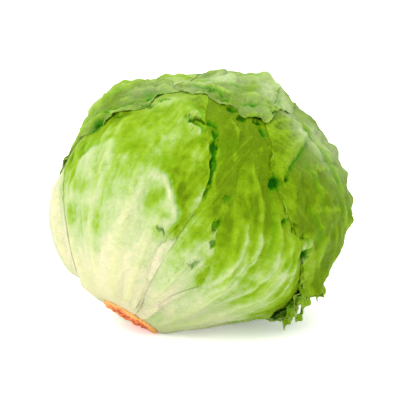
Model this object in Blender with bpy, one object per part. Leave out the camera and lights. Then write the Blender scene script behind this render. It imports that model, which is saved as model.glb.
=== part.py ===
"""Iceberg lettuce head, lying as it rests after picking, with the cut stem low at the front left.

The head is a tight ball. Its outer leaves are thin shells that all start at the stem, wrap the ball
and lie over each other, the first in LEAVES innermost. Places on the head are given as degrees
from the stem and degrees round the head, where 0 faces forwards (-Y) and 90 is to the right.
Lengths are in millimetres and are turned into metres only when a mesh is made.
"""

import bpy
import numpy as np
from mathutils.bvhtree import BVHTree

METRES = 0.001

# The ball, in millimetres: its half sizes, and its middle, low enough that the ball sits on a flat spot
HALF_SIZE = np.array([77.0, 75.5, 68.2])
MIDDLE = np.array([0.0, -6.0, 65.0])
NOMINAL_RADIUS = 74.0
UNEVEN = 1.1
UNEVEN_CELL = 34.0
UNEVEN_SEED = 5

# Swells and hollows of the ball: degrees from the stem, degrees round, height, reach in degrees
SWELLS = (
    (0.0, 0.0, 5.5, 18.0),
    (40.0, 62.0, -3.4, 20.0),
    (38.0, -98.0, 3.0, 18.0),
    (66.0, 88.0, 1.5, 14.0),
    (74.0, 82.0, 2.0, 13.0),
    (80.0, -96.0, -3.0, 22.0),
    (90.0, 88.0, 1.5, 17.0),
    (104.0, -74.0, 3.0, 15.0),
    (122.0, 72.0, 2.2, 15.0),
    (136.0, 50.0, -5.0, 22.0),
    (136.0, -28.0, -2.5, 16.0),
    (142.0, -62.0, -7.0, 17.0),
    (152.0, 28.0, -2.0, 12.0),
    (169.0, -4.0, 3.5, 7.0),
)

# Three ways that the head is measured from: towards the stem, to the front and to the side
STEM_WAY = np.array([-0.50, -0.375, -0.78])
STEM_WAY = STEM_WAY / np.linalg.norm(STEM_WAY)
FRONT_WAY = np.array([0.089, -0.919, 0.385])
FRONT_WAY = FRONT_WAY - STEM_WAY * FRONT_WAY.dot(STEM_WAY)
FRONT_WAY = FRONT_WAY / np.linalg.norm(FRONT_WAY)
SIDE_WAY = np.cross(FRONT_WAY, STEM_WAY)

# The stem: places in millimetres along its own way from the middle of the ball, its rings as such a
# place and a share of its radius, and the lobes of its outline as how many, how deep and turned how far
STEM_RADIUS = 17.2
STEM_CUT = 73.2
STEM_ROOT = 51.0
STEM_SIDES = 32
STEM_DOME = 0.1
STEM_RINGS = (
    (STEM_ROOT, 0.80),
    (STEM_ROOT + 6.0, 0.90),
    (STEM_CUT - 7.0, 0.985),
    (STEM_CUT - 1.4, 1.0),
    (STEM_CUT, 0.93),
    (STEM_CUT + STEM_DOME, 0.5),
)
STEM_LOBES = ((3, 0.022, 40.0), (7, 0.010, 0.0))
STEM_COLOUR = (0.62, 0.30, 0.12)
STEM_ROUGHNESS = 0.6

# The heart: flat under the stem out to so many degrees, then rising so many millimetres a degree
SEAT_ANGLE = 24.0
SEAT_RISE = 2.5
HEART_DIVISIONS = 4
HEART_LIFT = 1.0
HEART_COLOUR = (0.75, 0.80, 0.50)

# Leaves, in millimetres: a thin blade, fleshy near the base
BLADE = 1.0
FLESH = 2.1
FLESH_REACH = 40.0
LEAF_ROUGHNESS = 0.45

# A leaf is pressed in under the leaves over it, from one distance outside their edges to the other, and
# keeps clear of the leaves under it
GAP = 1.0
LEAST_GAP = 0.35
EASE_STEP = 0.3
MOST_EASING = 14
FOLLOW_FROM = 3.0
FOLLOW_TO = 16.0

# Relief, which fades near the edge of a leaf over this one: ribs, blisters and the waves of the margin.
# The ribs start at a share of the way to the margin and fade between two shares.
BARE_FROM = 3.0
BARE_TO = 11.0
RIB_HEIGHT = 1.7
MIDRIB_HEIGHT = 2.6
RIB_START = 0.12
RIB_FADE_FROM = 0.45
RIB_FADE_TO = 0.95
BLISTER = 0.9
BLISTER_CELL = 15.0
BLISTER_FADE = 12.0
LIP = 0.7
FRILL_DECAY = 6.0
FRILL_FROM = 0.2
FRILL_TO = 0.5
FRILL_WAVE = 25.0
FRILL_SWING = 0.35
SLOW_WAVE = 82.5
SLOW_SWING = 0.25
LOBE = 0.4
LOBE_WAVE = 33.0

# How far the veins fan out, and how finely the outline is drawn
FAN = 0.45
CURVE_STEPS = 8
OUTLINE_STEPS = 160
SIDE_STEPS = 12

# Rows of a leaf's grid from its base to its margin: plain ones this long, then finer ones at shares
# of the way, each with how many times more columns it has
ROW_LENGTH = 16.5
INNER_SHARE = 0.86
FINE_ROWS = ((0.93, 2), (0.972, 4), (1.0, 4))

# Each leaf: name, degrees of its base from the stem, where its base starts, has its midrib and ends
# round the stem, its middle, its columns, its colour, and its margin from one side over the tip to the
# other as degrees from the stem, degrees round, and height of the frill there in millimetres.
LEAVES = (
    ("leaf_left", 16.2, (-168, -118, -62), (75, -112), 14, (0.62, 0.74, 0.36), (
        (28, -164, 0), (52, -160, 0), (82, -158, 0), (110, -154, 0), (130, -138, 0), (137, -110, 0),
        (130, -82, 0), (112, -64, 0), (90, -57, 0), (66, -54, 0), (44, -55, 0), (28, -60, 0))),
    ("leaf_bottom", 15.6, (8, 62, 116), (75, 50), 16, (0.70, 0.80, 0.44), (
        (28, 5, 0), (52, -4, 0), (80, -8, 0), (108, -12, 0), (128, -10, 0), (137, 8, 0),
        (135, 32, 0), (125, 52, 0), (107, 70, 0), (88, 86, 0), (68, 100, 0), (48, 110, 0), (28, 114, 0))),
    ("leaf_middle", 15.0, (-52, -14, 22), (68, -10), 14, (0.42, 0.66, 0.18), (
        (28, -42, 0), (50, -38, 0), (75, -38, 0), (98, -38, 0), (118, -34, 0), (132, -22, 0),
        (132, -8, 0), (124, 1, 0.5), (115, 5, 1), (106, 7, 1), (96, 8, 1), (86, 10, 1.5), (78, 12, 2),
        (70, 14, 2.5), (63, 17, 2), (56, 21, 1), (50, 24, 0.5), (45, 21, 0), (38, 17, 0), (28, 16, 0))),
    ("leaf_front", 14.8, (-112, -30, 5), (68, -38), 16, (0.50, 0.72, 0.22), (
        (25, -88, 0), (37, -71, 0.5), (51, -68, 1), (61, -72, 1.5), (71, -77, 2.5), (80, -76, 2),
        (91, -69, 1), (106, -67, 0), (122, -60, 0), (134, -46, 0), (130, -30, 0.5), (117, -19, 1.5),
        (103, -10, 1), (91, -2, 0.5), (76, 1, 0.5), (66, -1, 1), (57, -5, 2), (48, -4, 1),
        (38, -2, 0.5), (26, 2, 0))),
    ("leaf_right", 15.6, (96, 138, 184), (84, 108), 20, (0.40, 0.62, 0.20), (
        (30, 99, 0), (45, 99, 1), (56, 94, 3), (62, 89, 6.5), (66, 83, 9), (70, 76, 8), (74, 69, 5.5),
        (78, 62, 4), (84, 56, 3.5), (90, 51, 3), (93, 46, 2.5), (92, 40, 2.5), (92, 34, 2.5), (96, 28, 2.5),
        (102, 22, 2.5), (110, 16, 2.5), (119, 12, 2), (128, 7, 1.5), (142, 3, 0), (158, 8, 0),
        (170, 55, 0), (167, 110, 0), (150, 144, 0), (122, 162, 0), (92, 172, 0), (62, 180, 0),
        (42, 184, 0), (28, 185, 0))),
    ("leaf_top_left", 16.0, (190, 216, 244), (95, 235), 18, (0.34, 0.62, 0.13), (
        (28, 190, 0), (50, 182, 0), (80, 174, 0), (110, 170, 0), (136, 176, 0), (152, 202, 0),
        (158, 250, 0), (152, 290, 0), (141, 314, 0), (131, 320, 1.5), (121, 320, 3), (113, 317, 3.5),
        (106, 315, 3.5), (100, 311, 4), (95, 303, 4), (86, 299, 3.5), (83, 288, 3), (81, 281, 2.5),
        (73, 275, 3), (71, 267, 2), (71, 258, 1.5), (64, 250, 1), (53, 246, 1), (40, 244, 0.5),
        (28, 243, 0))),
    ("leaf_crown", 15.2, (166, 190, 218), (125, 180), 22, (0.38, 0.64, 0.18), (
        (28, 163, 0), (58, 156, 0.5), (92, 150, 1), (120, 143, 2), (144, 132, 2), (160, 104, 1.5),
        (163, 62, 1), (154, 40, 1), (144, 24, 2.5), (134, 12, 4), (124, 9, 4.5), (121, 2, 4),
        (122, -7, 3.5), (123, -17, 3), (125, -27, 2.5), (122, -35, 1.5), (121, -43, 0.5), (130, -52, 0.3),
        (142, -68, 0.5), (150, -100, 1.5), (138, -136, 2), (108, -150, 1.5), (66, -148, 0.5),
        (28, -142, 0))),
    ("leaf_back", 14.6, (160, 196, 240), (62, 196), 14, (0.45, 0.66, 0.22), (
        (28, 154, 0.5), (48, 150, 1.5), (70, 150, 3), (88, 156, 5), (100, 168, 6), (106, 184, 6),
        (106, 202, 6), (99, 220, 6), (87, 234, 5), (70, 243, 3), (48, 247, 1.5), (28, 246, 0.5))),
)

# Whole numbers that the noise mixes its cells with
MIXERS = (374761393, 668265263, 974634777)
STIR = 1274126177
WORD = 0xFFFFFFFF
HALF_WORD = 0xFFFF


def direction(from_stem, round_head):
    """Unit vectors at so many degrees from the stem and so many round the head."""
    polar = np.radians(np.asarray(from_stem, float))[..., None]
    turn = np.radians(np.asarray(round_head, float))[..., None]
    across = np.cos(turn) * FRONT_WAY + np.sin(turn) * SIDE_WAY
    return np.cos(polar) * STEM_WAY + np.sin(polar) * across


def ramp(value, low, high):
    """0 at low, 1 at high, smooth between."""
    share = np.clip((value - low) / (high - low), 0.0, 1.0)
    return share * share * (3.0 - 2.0 * share)


def lattice(cells, seed):
    """A fixed number from -1 to 1 for each whole-number cell."""
    mixed = (cells @ np.array(MIXERS) + seed * STIR) & WORD
    mixed = ((mixed ^ (mixed >> 13)) * STIR) & WORD
    return ((mixed ^ (mixed >> 16)) & HALF_WORD) * 2.0 / HALF_WORD - 1.0


def drift(points, seed):
    """Smooth noise from -1 to 1 with one cell to each unit."""
    floor = np.floor(points)
    part = points - floor
    part = part * part * (3.0 - 2.0 * part)
    cells = floor.astype(np.int64)
    total = np.zeros(points.shape[:-1])
    for corner in range(8):
        step = np.array([corner & 1, corner >> 1 & 1, corner >> 2 & 1])
        share = np.where(step, part, 1.0 - part).prod(axis=-1)
        total += share * lattice(cells + step, seed)
    return total


def ball_radius(ways):
    """How far the outside of the head is from its middle, in each direction."""
    radius = 1.0 / np.linalg.norm(ways / HALF_SIZE, axis=-1)
    for from_stem, round_head, height, reach in SWELLS:
        away = np.degrees(np.arccos(np.clip(ways @ direction(from_stem, round_head), -1, 1)))
        radius = radius + height * np.exp(-((away / reach) ** 2))
    radius = radius + UNEVEN * drift(ways * NOMINAL_RADIUS / UNEVEN_CELL, UNEVEN_SEED)
    to_floor = MIDDLE[2] / np.maximum(-ways[..., 2], 1e-6)
    return np.minimum(radius, to_floor)


def smooth_curve(points, steps):
    """A Catmull-Rom curve through the points, cut into equal steps of its length in the plane."""
    ends = np.vstack([2 * points[0] - points[1], points, 2 * points[-1] - points[-2]])
    share = np.linspace(0.0, 1.0, CURVE_STEPS, endpoint=False)[:, None]
    pieces = []
    for p0, p1, p2, p3 in zip(ends[:-3], ends[1:-2], ends[2:-1], ends[3:]):
        pieces.append(0.5 * (2 * p1 + (p2 - p0) * share + (2 * p0 - 5 * p1 + 4 * p2 - p3) * share**2
                             + (3 * p1 - p0 - 3 * p2 + p3) * share**3))
    curve = np.vstack(pieces + [points[-1:]])
    length = np.append(0.0, np.cumsum(np.linalg.norm(np.diff(curve[:, :2], axis=0), axis=1)))
    wanted = np.linspace(0.0, length[-1], steps + 1)
    return np.stack([np.interp(wanted, length, column) for column in curve.T], axis=1), length[-1]


class Leaf:
    """One leaf: its outline on a flat map of the head about the leaf's own middle."""

    def __init__(self, name, base_angle, base_turns, middle, columns, colour, margin):
        self.name = name
        self.columns = columns
        self.colour = colour
        self.seed = sum(map(ord, name))
        self.base_angle = base_angle
        self.base_turns = base_turns
        self.middle = direction(*middle)
        self.along = self.middle * self.middle.dot(STEM_WAY) - STEM_WAY
        self.along = self.along / np.linalg.norm(self.along)
        self.across = np.cross(self.along, self.middle)
        self.pole = self.to_map(STEM_WAY)
        places = np.array(margin, float)
        flat = self.to_map(direction(places[:, 0], places[:, 1]))
        self.margin, self.margin_length = smooth_curve(np.column_stack([flat, places[:, 2]]), OUTLINE_STEPS)
        self.lobe_margin()
        self.heel = self.base(np.array([0.5]))[0]
        share = np.linspace(0.0, 1.0, SIDE_STEPS)
        ones = np.ones_like(share)
        self.outline = np.vstack([
            self.on_ray(share, 0 * ones)[:-1],
            self.margin[:, :2],
            self.on_ray(share, ones)[::-1][1:],
            self.base(share[::-1])[1:-1],
        ])

    def to_map(self, ways):
        """Map places of directions: along the leaf and across it, in millimetres over the ball."""
        angle = np.arccos(np.clip(ways @ self.middle, -1.0, 1.0))
        flat = np.stack([ways @ self.along, ways @ self.across], axis=-1)
        size = np.maximum(np.linalg.norm(flat, axis=-1), 1e-9)
        return flat * (angle * NOMINAL_RADIUS / size)[..., None]

    def from_map(self, flat):
        """Directions of map places."""
        size = np.maximum(np.linalg.norm(flat, axis=-1), 1e-9)[..., None]
        angle = size / NOMINAL_RADIUS
        sideways = (flat[..., :1] * self.along + flat[..., 1:] * self.across) / size
        return np.cos(angle) * self.middle + np.sin(angle) * sideways

    def lobe_margin(self):
        """Shallow lobes along the frilly stretches of the margin."""
        walked = np.linspace(0.0, self.margin_length, len(self.margin))
        tangent = np.gradient(self.margin[:, :2], axis=0)
        outward = np.stack([tangent[:, 1], -tangent[:, 0]], axis=1)
        outward = outward / np.linalg.norm(outward, axis=1)[:, None]
        wave = np.sin(2 * np.pi * walked / LOBE_WAVE + self.seed)
        self.margin[:, :2] += outward * (LOBE * self.margin[:, 2] * wave)[:, None]

    def base(self, share):
        """Map places along the base, round the stem."""
        low, mid, high = self.base_turns
        turn = low + (4 * mid - 3 * low - high) * share + 2 * (low + high - 2 * mid) * share**2
        return self.to_map(direction(np.full_like(share, self.base_angle), turn))

    def on_margin(self, share):
        """Map places and frill heights along the margin."""
        steps = np.linspace(0.0, 1.0, len(self.margin))
        return np.stack([np.interp(share, steps, column) for column in self.margin.T], axis=-1)

    def on_ray(self, reach, share):
        """Map places at a share of the way along the veins, which fan from the base to the margin."""
        start = self.base(share)
        end = self.on_margin(share)[..., :2]
        outward = start - self.pole
        outward = outward / np.linalg.norm(outward, axis=-1)[..., None]
        length = np.linalg.norm(end - start, axis=-1)[..., None]
        bend = start + outward * FAN * length
        reach = reach[..., None]
        return (1 - reach) ** 2 * start + 2 * reach * (1 - reach) * bend + reach**2 * end

    def inside(self, flat):
        """Distance of map places from the outline: over 0 inside it, under 0 outside."""
        ends = np.roll(self.outline, -1, axis=0)
        sides = ends - self.outline
        away = flat[:, None, :] - self.outline[None]
        share = np.clip((away * sides).sum(-1) / np.maximum((sides**2).sum(-1), 1e-9), 0.0, 1.0)
        nearest = np.linalg.norm(away - share[..., None] * sides, axis=-1).min(axis=1)
        above = self.outline[:, 1] > flat[:, 1:]
        crossing = above != (ends[:, 1] > flat[:, 1:])
        rise = np.where(np.abs(sides[:, 1]) < 1e-9, 1e-9, sides[:, 1])
        meets = self.outline[:, 0] + (flat[:, 1:] - self.outline[:, 1]) * sides[:, 0] / rise
        odd = (crossing & (flat[:, :1] < meets)).sum(axis=1) % 2
        return np.where(odd, nearest, -nearest)

    def thickness(self, flat):
        """Thin blade, fleshy near the base."""
        away = np.linalg.norm(flat - self.heel, axis=-1)
        return BLADE + FLESH * np.exp(-((away / FLESH_REACH) ** 2))


def layers_over(leaves, ways):
    """How deep a layer is pressed in by the leaves over it, and how bare it is, from 1 to 0."""
    depth = np.zeros(len(ways))
    bare = np.ones(len(ways))
    for leaf in leaves:
        flat = leaf.to_map(ways)
        edge = leaf.inside(flat)
        depth += ramp(edge, -FOLLOW_TO, -FOLLOW_FROM) * (GAP + leaf.thickness(flat))
        bare *= 1.0 - ramp(edge, -BARE_TO, -BARE_FROM)
    return depth, bare


def rib_relief(leaf, share, reach):
    """Ribs on every second vein line, with a broader midrib, all fading towards the margin."""
    place = share * leaf.columns
    rib = 1.0 - np.abs((place + 1.0) % 2.0 - 1.0)
    midrib = np.exp(-(((share - 0.5) * leaf.columns) ** 2))
    fade = ramp(reach, 0.0, RIB_START) * (1.0 - ramp(reach, RIB_FADE_FROM, RIB_FADE_TO))
    return fade * (RIB_HEIGHT * (1.0 - rib) + MIDRIB_HEIGHT * midrib)


def frill_relief(leaf, share, reach, edge, frill):
    """Waves that stand out of the head along the frilly stretches of the margin, but not at the base."""
    walked = share * leaf.margin_length
    wave = 1.0 - FRILL_SWING + FRILL_SWING * np.sin(2 * np.pi * walked / FRILL_WAVE + leaf.seed)
    slow = 1.0 - SLOW_SWING + SLOW_SWING * np.sin(2 * np.pi * walked / SLOW_WAVE)
    near = np.exp(-np.maximum(edge, 0.0) / FRILL_DECAY) * ramp(reach, FRILL_FROM, FRILL_TO)
    return near * (LIP + frill * slow * wave)


def grid_of(leaf):
    """Shares along and round the leaf for every grid point, and the triangles between them."""
    tip = leaf.on_margin(np.array([0.5]))[0, :2]
    plain = round(INNER_SHARE * np.linalg.norm(tip - leaf.heel) / ROW_LENGTH)
    rows = [(INNER_SHARE * i / plain, 1) for i in range(plain + 1)] + list(FINE_ROWS)
    reach = []
    share = []
    starts = []
    for place, finer in rows:
        starts.append(len(share))
        count = leaf.columns * finer
        share.extend(np.linspace(0.0, 1.0, count + 1))
        reach.extend([place] * (count + 1))
    faces = []
    for row in range(len(rows) - 1):
        low, high = starts[row], starts[row + 1]
        same = rows[row][1] == rows[row + 1][1]
        for i in range(leaf.columns * rows[row][1]):
            a, b = low + i, low + i + 1
            if same:
                c, d = high + i, high + i + 1
                faces += [(a, b, d), (a, d, c)] if i % 2 else [(a, b, c), (b, d, c)]
            else:
                c, m, d = high + 2 * i, high + 2 * i + 1, high + 2 * i + 2
                faces += [(a, m, c), (a, b, m), (b, d, m)]
    return np.array(reach), np.array(share), faces


def close_shell(faces, count):
    """The faces outside, the same ones turned round inside, and a strip along every open edge."""
    edges = {(f[i], f[(i + 1) % 3]) for f in faces for i in range(3)}
    closed = list(faces) + [(a + count, c + count, b + count) for a, b, c in faces]
    for a, b in sorted(edges):
        if (b, a) not in edges:
            closed += [(b, a, a + count), (b, a + count, b + count)]
    return closed


def to_points(ways, radius, lowest=0.0):
    """Places in millimetres, kept at or over the floor."""
    points = MIDDLE + ways * radius[:, None]
    points[:, 2] = np.maximum(points[:, 2], lowest)
    return points


def tree_of(points, faces):
    return BVHTree.FromPolygons([tuple(p) for p in points], faces, all_triangles=True)


def make_leaf(leaf, over, under):
    """The leaf's shell, eased outwards until it is clear of everything under it."""
    reach, share, faces = grid_of(leaf)
    flat = leaf.on_ray(reach, share)
    ways = leaf.from_map(flat)
    depth, bare = layers_over(over, ways)
    edge = leaf.inside(flat)
    frill = leaf.on_margin(share)[:, 2]
    thick = leaf.thickness(flat)
    blister = BLISTER * (1.0 + drift(ways * NOMINAL_RADIUS / BLISTER_CELL, leaf.seed))
    frills = frill_relief(leaf, share, reach, edge, frill)
    lifted = bare * (frills + blister * ramp(edge, 0.0, BLISTER_FADE))
    outer = ball_radius(ways) - depth + lifted
    ribs = bare * rib_relief(leaf, share, reach)
    if not is_outward(to_points(ways, outer), faces):
        faces = [(a, c, b) for a, b, c in faces]
    faces = close_shell(faces, len(ways))
    ease = np.zeros(len(ways))
    for _ in range(MOST_EASING):
        low = to_points(ways, outer - thick + ease - LEAST_GAP)
        high = to_points(ways, outer + ribs + ease)
        tree = tree_of(np.vstack([high, low]), faces)
        touched = {face for other in under for face, _ in tree.overlap(other)}
        if not touched:
            break
        corners = sorted({corner % len(ways) for face in touched for corner in faces[face]})
        ease[corners] += EASE_STEP
    low = to_points(ways, outer - thick + ease, BLADE)
    high = to_points(ways, outer + ribs + ease)
    return np.vstack([high, low]), faces


def is_outward(points, faces):
    corners = points[np.array(faces)]
    return np.linalg.det(corners - MIDDLE).sum() > 0


def make_heart(leaves):
    """The tight ball of inner leaves, pressed in where the outer leaves lie and flat under the stem."""
    bpy.ops.mesh.primitive_ico_sphere_add(subdivisions=HEART_DIVISIONS, radius=1.0)
    ball = bpy.context.object
    ways = np.array([v.co.normalized() for v in ball.data.vertices])
    faces = [tuple(p.vertices) for p in ball.data.polygons]
    bpy.data.objects.remove(ball, do_unlink=True)
    depth, _ = layers_over(leaves, ways)
    radius = ball_radius(ways) - depth - GAP
    towards = np.maximum(ways @ STEM_WAY, 1e-6)
    angle = np.degrees(np.arccos(np.clip(towards, -1, 1)))
    seat = (STEM_ROOT - GAP) / towards + SEAT_RISE * np.maximum(angle - SEAT_ANGLE, 0.0)
    return to_points(ways, np.minimum(radius, seat), HEART_LIFT), faces


def make_stem():
    """The butt of the stem: a stout peg with a slightly rounded rim and an uneven, almost flat cut."""
    turns = np.linspace(0.0, 360.0, STEM_SIDES, endpoint=False)
    around = direction(np.full(STEM_SIDES, 90.0), turns)
    shape = np.ones(STEM_SIDES)
    for count, depth, turned in STEM_LOBES:
        shape -= depth * (1.0 + np.sin(np.radians(count * turns + turned)))
    points = [MIDDLE + STEM_WAY * STEM_ROOT]
    for along, size in STEM_RINGS:
        points.extend(MIDDLE + STEM_WAY * along + around * (STEM_RADIUS * size * shape)[:, None])
    points.append(MIDDLE + STEM_WAY * (STEM_CUT + STEM_DOME))
    points = np.array(points)
    points[:, 2] = np.maximum(points[:, 2], 0.0)
    faces = []
    last = len(points) - 1
    for i in range(STEM_SIDES):
        j = (i + 1) % STEM_SIDES
        faces.append((0, 1 + j, 1 + i))
        top = 1 + STEM_SIDES * (len(STEM_RINGS) - 1)
        faces.append((last, top + i, top + j))
        for ring in range(len(STEM_RINGS) - 1):
            low = 1 + STEM_SIDES * ring
            high = low + STEM_SIDES
            faces += [(low + i, low + j, high + j), (low + i, high + j, high + i)]
    if not is_outward(points, faces):
        faces = [(a, c, b) for a, b, c in faces]
    return points, faces


def finish(name, colour, roughness):
    material = bpy.data.materials.new(name)
    material.use_nodes = True
    shader = material.node_tree.nodes["Principled BSDF"]
    shader.inputs["Base Color"].default_value = (*colour, 1.0)
    shader.inputs["Roughness"].default_value = roughness
    shader.inputs["Metallic"].default_value = 0.0
    return material


def add_object(name, points, faces, colour, roughness):
    mesh = bpy.data.meshes.new(name)
    mesh.from_pydata([tuple(p * METRES) for p in points], [], faces)
    mesh.materials.append(finish(name, colour, roughness))
    mesh.shade_smooth()
    bpy.context.scene.collection.objects.link(bpy.data.objects.new(name, mesh))


def main():
    for old in list(bpy.data.objects):
        bpy.data.objects.remove(old, do_unlink=True)
    leaves = [Leaf(*values) for values in LEAVES]
    heart = make_heart(leaves)
    stem = make_stem()
    add_object("heart", *heart, HEART_COLOUR, LEAF_ROUGHNESS)
    add_object("stem", *stem, STEM_COLOUR, STEM_ROUGHNESS)
    under = [tree_of(*heart), tree_of(*stem)]
    for place, leaf in enumerate(leaves):
        shell = make_leaf(leaf, leaves[place + 1:], under)
        add_object(leaf.name, *shell, leaf.colour, LEAF_ROUGHNESS)
        under.append(tree_of(*shell))


main()
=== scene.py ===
"""Iceberg lettuce head on a pale floor, seen from the front and a little above.

Every CAD solid is replaced by a finer piece of the same form: the outer leaves with their ribs,
puckers and curled margins, the heart under them and the cut stem. Places on the head are given as
degrees from the stem and degrees round the head, where 0 faces forwards (-Y) and 90 is to the
right. Lengths are in millimetres and are turned into metres only when a mesh is made.
"""

import math

import bpy
import numpy as np
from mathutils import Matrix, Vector


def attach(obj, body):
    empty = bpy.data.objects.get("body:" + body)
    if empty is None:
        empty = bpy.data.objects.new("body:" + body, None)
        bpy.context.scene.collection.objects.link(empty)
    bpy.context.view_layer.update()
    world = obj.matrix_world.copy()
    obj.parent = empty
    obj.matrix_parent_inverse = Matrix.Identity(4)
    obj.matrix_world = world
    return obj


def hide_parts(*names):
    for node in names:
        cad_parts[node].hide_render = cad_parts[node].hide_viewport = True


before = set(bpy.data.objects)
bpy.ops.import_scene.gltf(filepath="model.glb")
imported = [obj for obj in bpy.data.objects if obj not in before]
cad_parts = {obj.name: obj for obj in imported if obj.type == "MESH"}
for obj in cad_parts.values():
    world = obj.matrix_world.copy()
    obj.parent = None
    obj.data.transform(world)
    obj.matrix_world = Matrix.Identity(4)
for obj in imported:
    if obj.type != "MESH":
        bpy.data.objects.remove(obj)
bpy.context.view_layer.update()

METRES = 0.001

# The studio, in metres, watts and degrees: floor, surroundings, lamps and the photo's camera
FLOOR_HALF = 4.0
SURROUNDINGS = 1.35
LAMPS = (
    ("key", (-0.9, -1.2, 1.5), 27.0, 1.0),
    ("top", (0.2, 0.3, 1.6), 14.0, 1.2),
)
CAMERA_ABOVE = 14.0
CAMERA_LENS = 170.0
CAMERA_SHIFT = -0.005

# The ball: its half sizes and its middle
HALF_SIZE = np.array([77.0, 75.5, 68.2])
MIDDLE = np.array([0.0, -6.0, 65.0])
NOMINAL_RADIUS = 74.0
UNEVEN = 1.1
UNEVEN_CELL = 34.0
UNEVEN_SEED = 5

# Swells and hollows of the ball: degrees from the stem, degrees round, height, reach in degrees
SWELLS = (
    (0.0, 0.0, 5.5, 18.0),
    (40.0, 62.0, -3.4, 20.0),
    (38.0, -98.0, 3.0, 18.0),
    (66.0, 88.0, 1.5, 14.0),
    (74.0, 82.0, 2.0, 13.0),
    (80.0, -96.0, -3.0, 22.0),
    (90.0, 88.0, 1.5, 17.0),
    (104.0, -74.0, 3.0, 15.0),
    (122.0, 72.0, 2.2, 15.0),
    (136.0, 50.0, -5.0, 22.0),
    (136.0, -28.0, -2.5, 16.0),
    (142.0, -62.0, -7.0, 17.0),
    (152.0, 28.0, -2.0, 12.0),
    (169.0, -4.0, 3.5, 7.0),
)

# Three ways that the head is measured from: towards the stem, to the front and to the side
STEM_WAY = np.array([-0.50, -0.375, -0.78])
STEM_WAY = STEM_WAY / np.linalg.norm(STEM_WAY)
FRONT_WAY = np.array([0.089, -0.919, 0.385])
FRONT_WAY = FRONT_WAY - STEM_WAY * FRONT_WAY.dot(STEM_WAY)
FRONT_WAY = FRONT_WAY / np.linalg.norm(FRONT_WAY)
SIDE_WAY = np.cross(FRONT_WAY, STEM_WAY)

# The stem, along its own way from the middle of the ball. Lobes: count, depth, turn in degrees; rim:
# how far under the cut, share of the radius; roughness: share, cell in millimetres, seed
STEM_RADIUS = 17.2
STEM_CUT = 73.2
STEM_ROOT = 51.0
STEM_LOBES = ((3, 0.022, 40.0), (7, 0.010, 0.0))
STEM_SIDES = 192
STEM_RIM = ((0.7, 0.995), (0.3, 0.98), (0.0, 0.955))
STEM_ROUGH = ((1.0, 2.3, 71), (0.6, 1.1, 72))
ORANGE_DEPTH = 3.5
SEAT_ANGLE = 24.0
SEAT_RISE = 2.5

# Leaves
BLADE = 1.0
FLESH = 2.1
FLESH_REACH = 40.0
GAP = 1.0
FOLLOW_FROM = 2.0
FOLLOW_TO = 12.0
BARE_FROM = 3.0
BARE_TO = 11.0
RIB_HEIGHT = 1.7
MIDRIB_HEIGHT = 2.6
BLISTER = 0.9
BLISTER_CELL = 15.0
FRILL_FROM = 0.2
FRILL_TO = 0.5
FRILL_WAVE = 25.0
LOBE = 0.4
LOBE_WAVE = 33.0
FAN = 0.45
OUTLINE_STEPS = 160

# Fine detail of the leaves
THIN_EDGE = 0.45
COLLAR_UNDER = 0.5
COLLAR_REACH = 7.0
COLLAR_IN = 3.2
MM_PER_DEGREE = math.radians(NOMINAL_RADIUS)
MAP_STEP = 1.5
MAP_MARGIN = 24.0
MARGIN_BAND = 16.0
ROW_STEP = 1.45
MARGIN_STEP = 0.95
COARSE_REACH = 0.32
CURVE_CUTS = 8
CURL_STEPS = 8
SEAM_REACH = 4.0
CREASE_STEPS = 20
STRAND_STEPS = 60
STRAND_COLUMNS = 10
STEP_REACH = 6.0
SHARP_FROM = math.radians(62.0)
TUCK_REACH = 3.0
MARGIN_PRESS = 0.6
FLUSH = 0.1
PRESS_REACH = 9.0
THIN_REACH = 14.0
SETTLE_REACH = 8.0

# Along a margin: lengths of its small waves, and of the noises that bend, twist, tear and break it, and break
# up the painted shade line under it
FAST_WAVE = 8.5
FAST_CELL = 19.0
QUICK_WAVE = 4.1
QUICK_CELL = 11.0
TWIST_CELL = 8.0
JAG_CELL = 3.2
SLOW_JAG_CELL = 9.0
BREAK_CELL = 11.0
SEAM_CELL = 8.0

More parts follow.
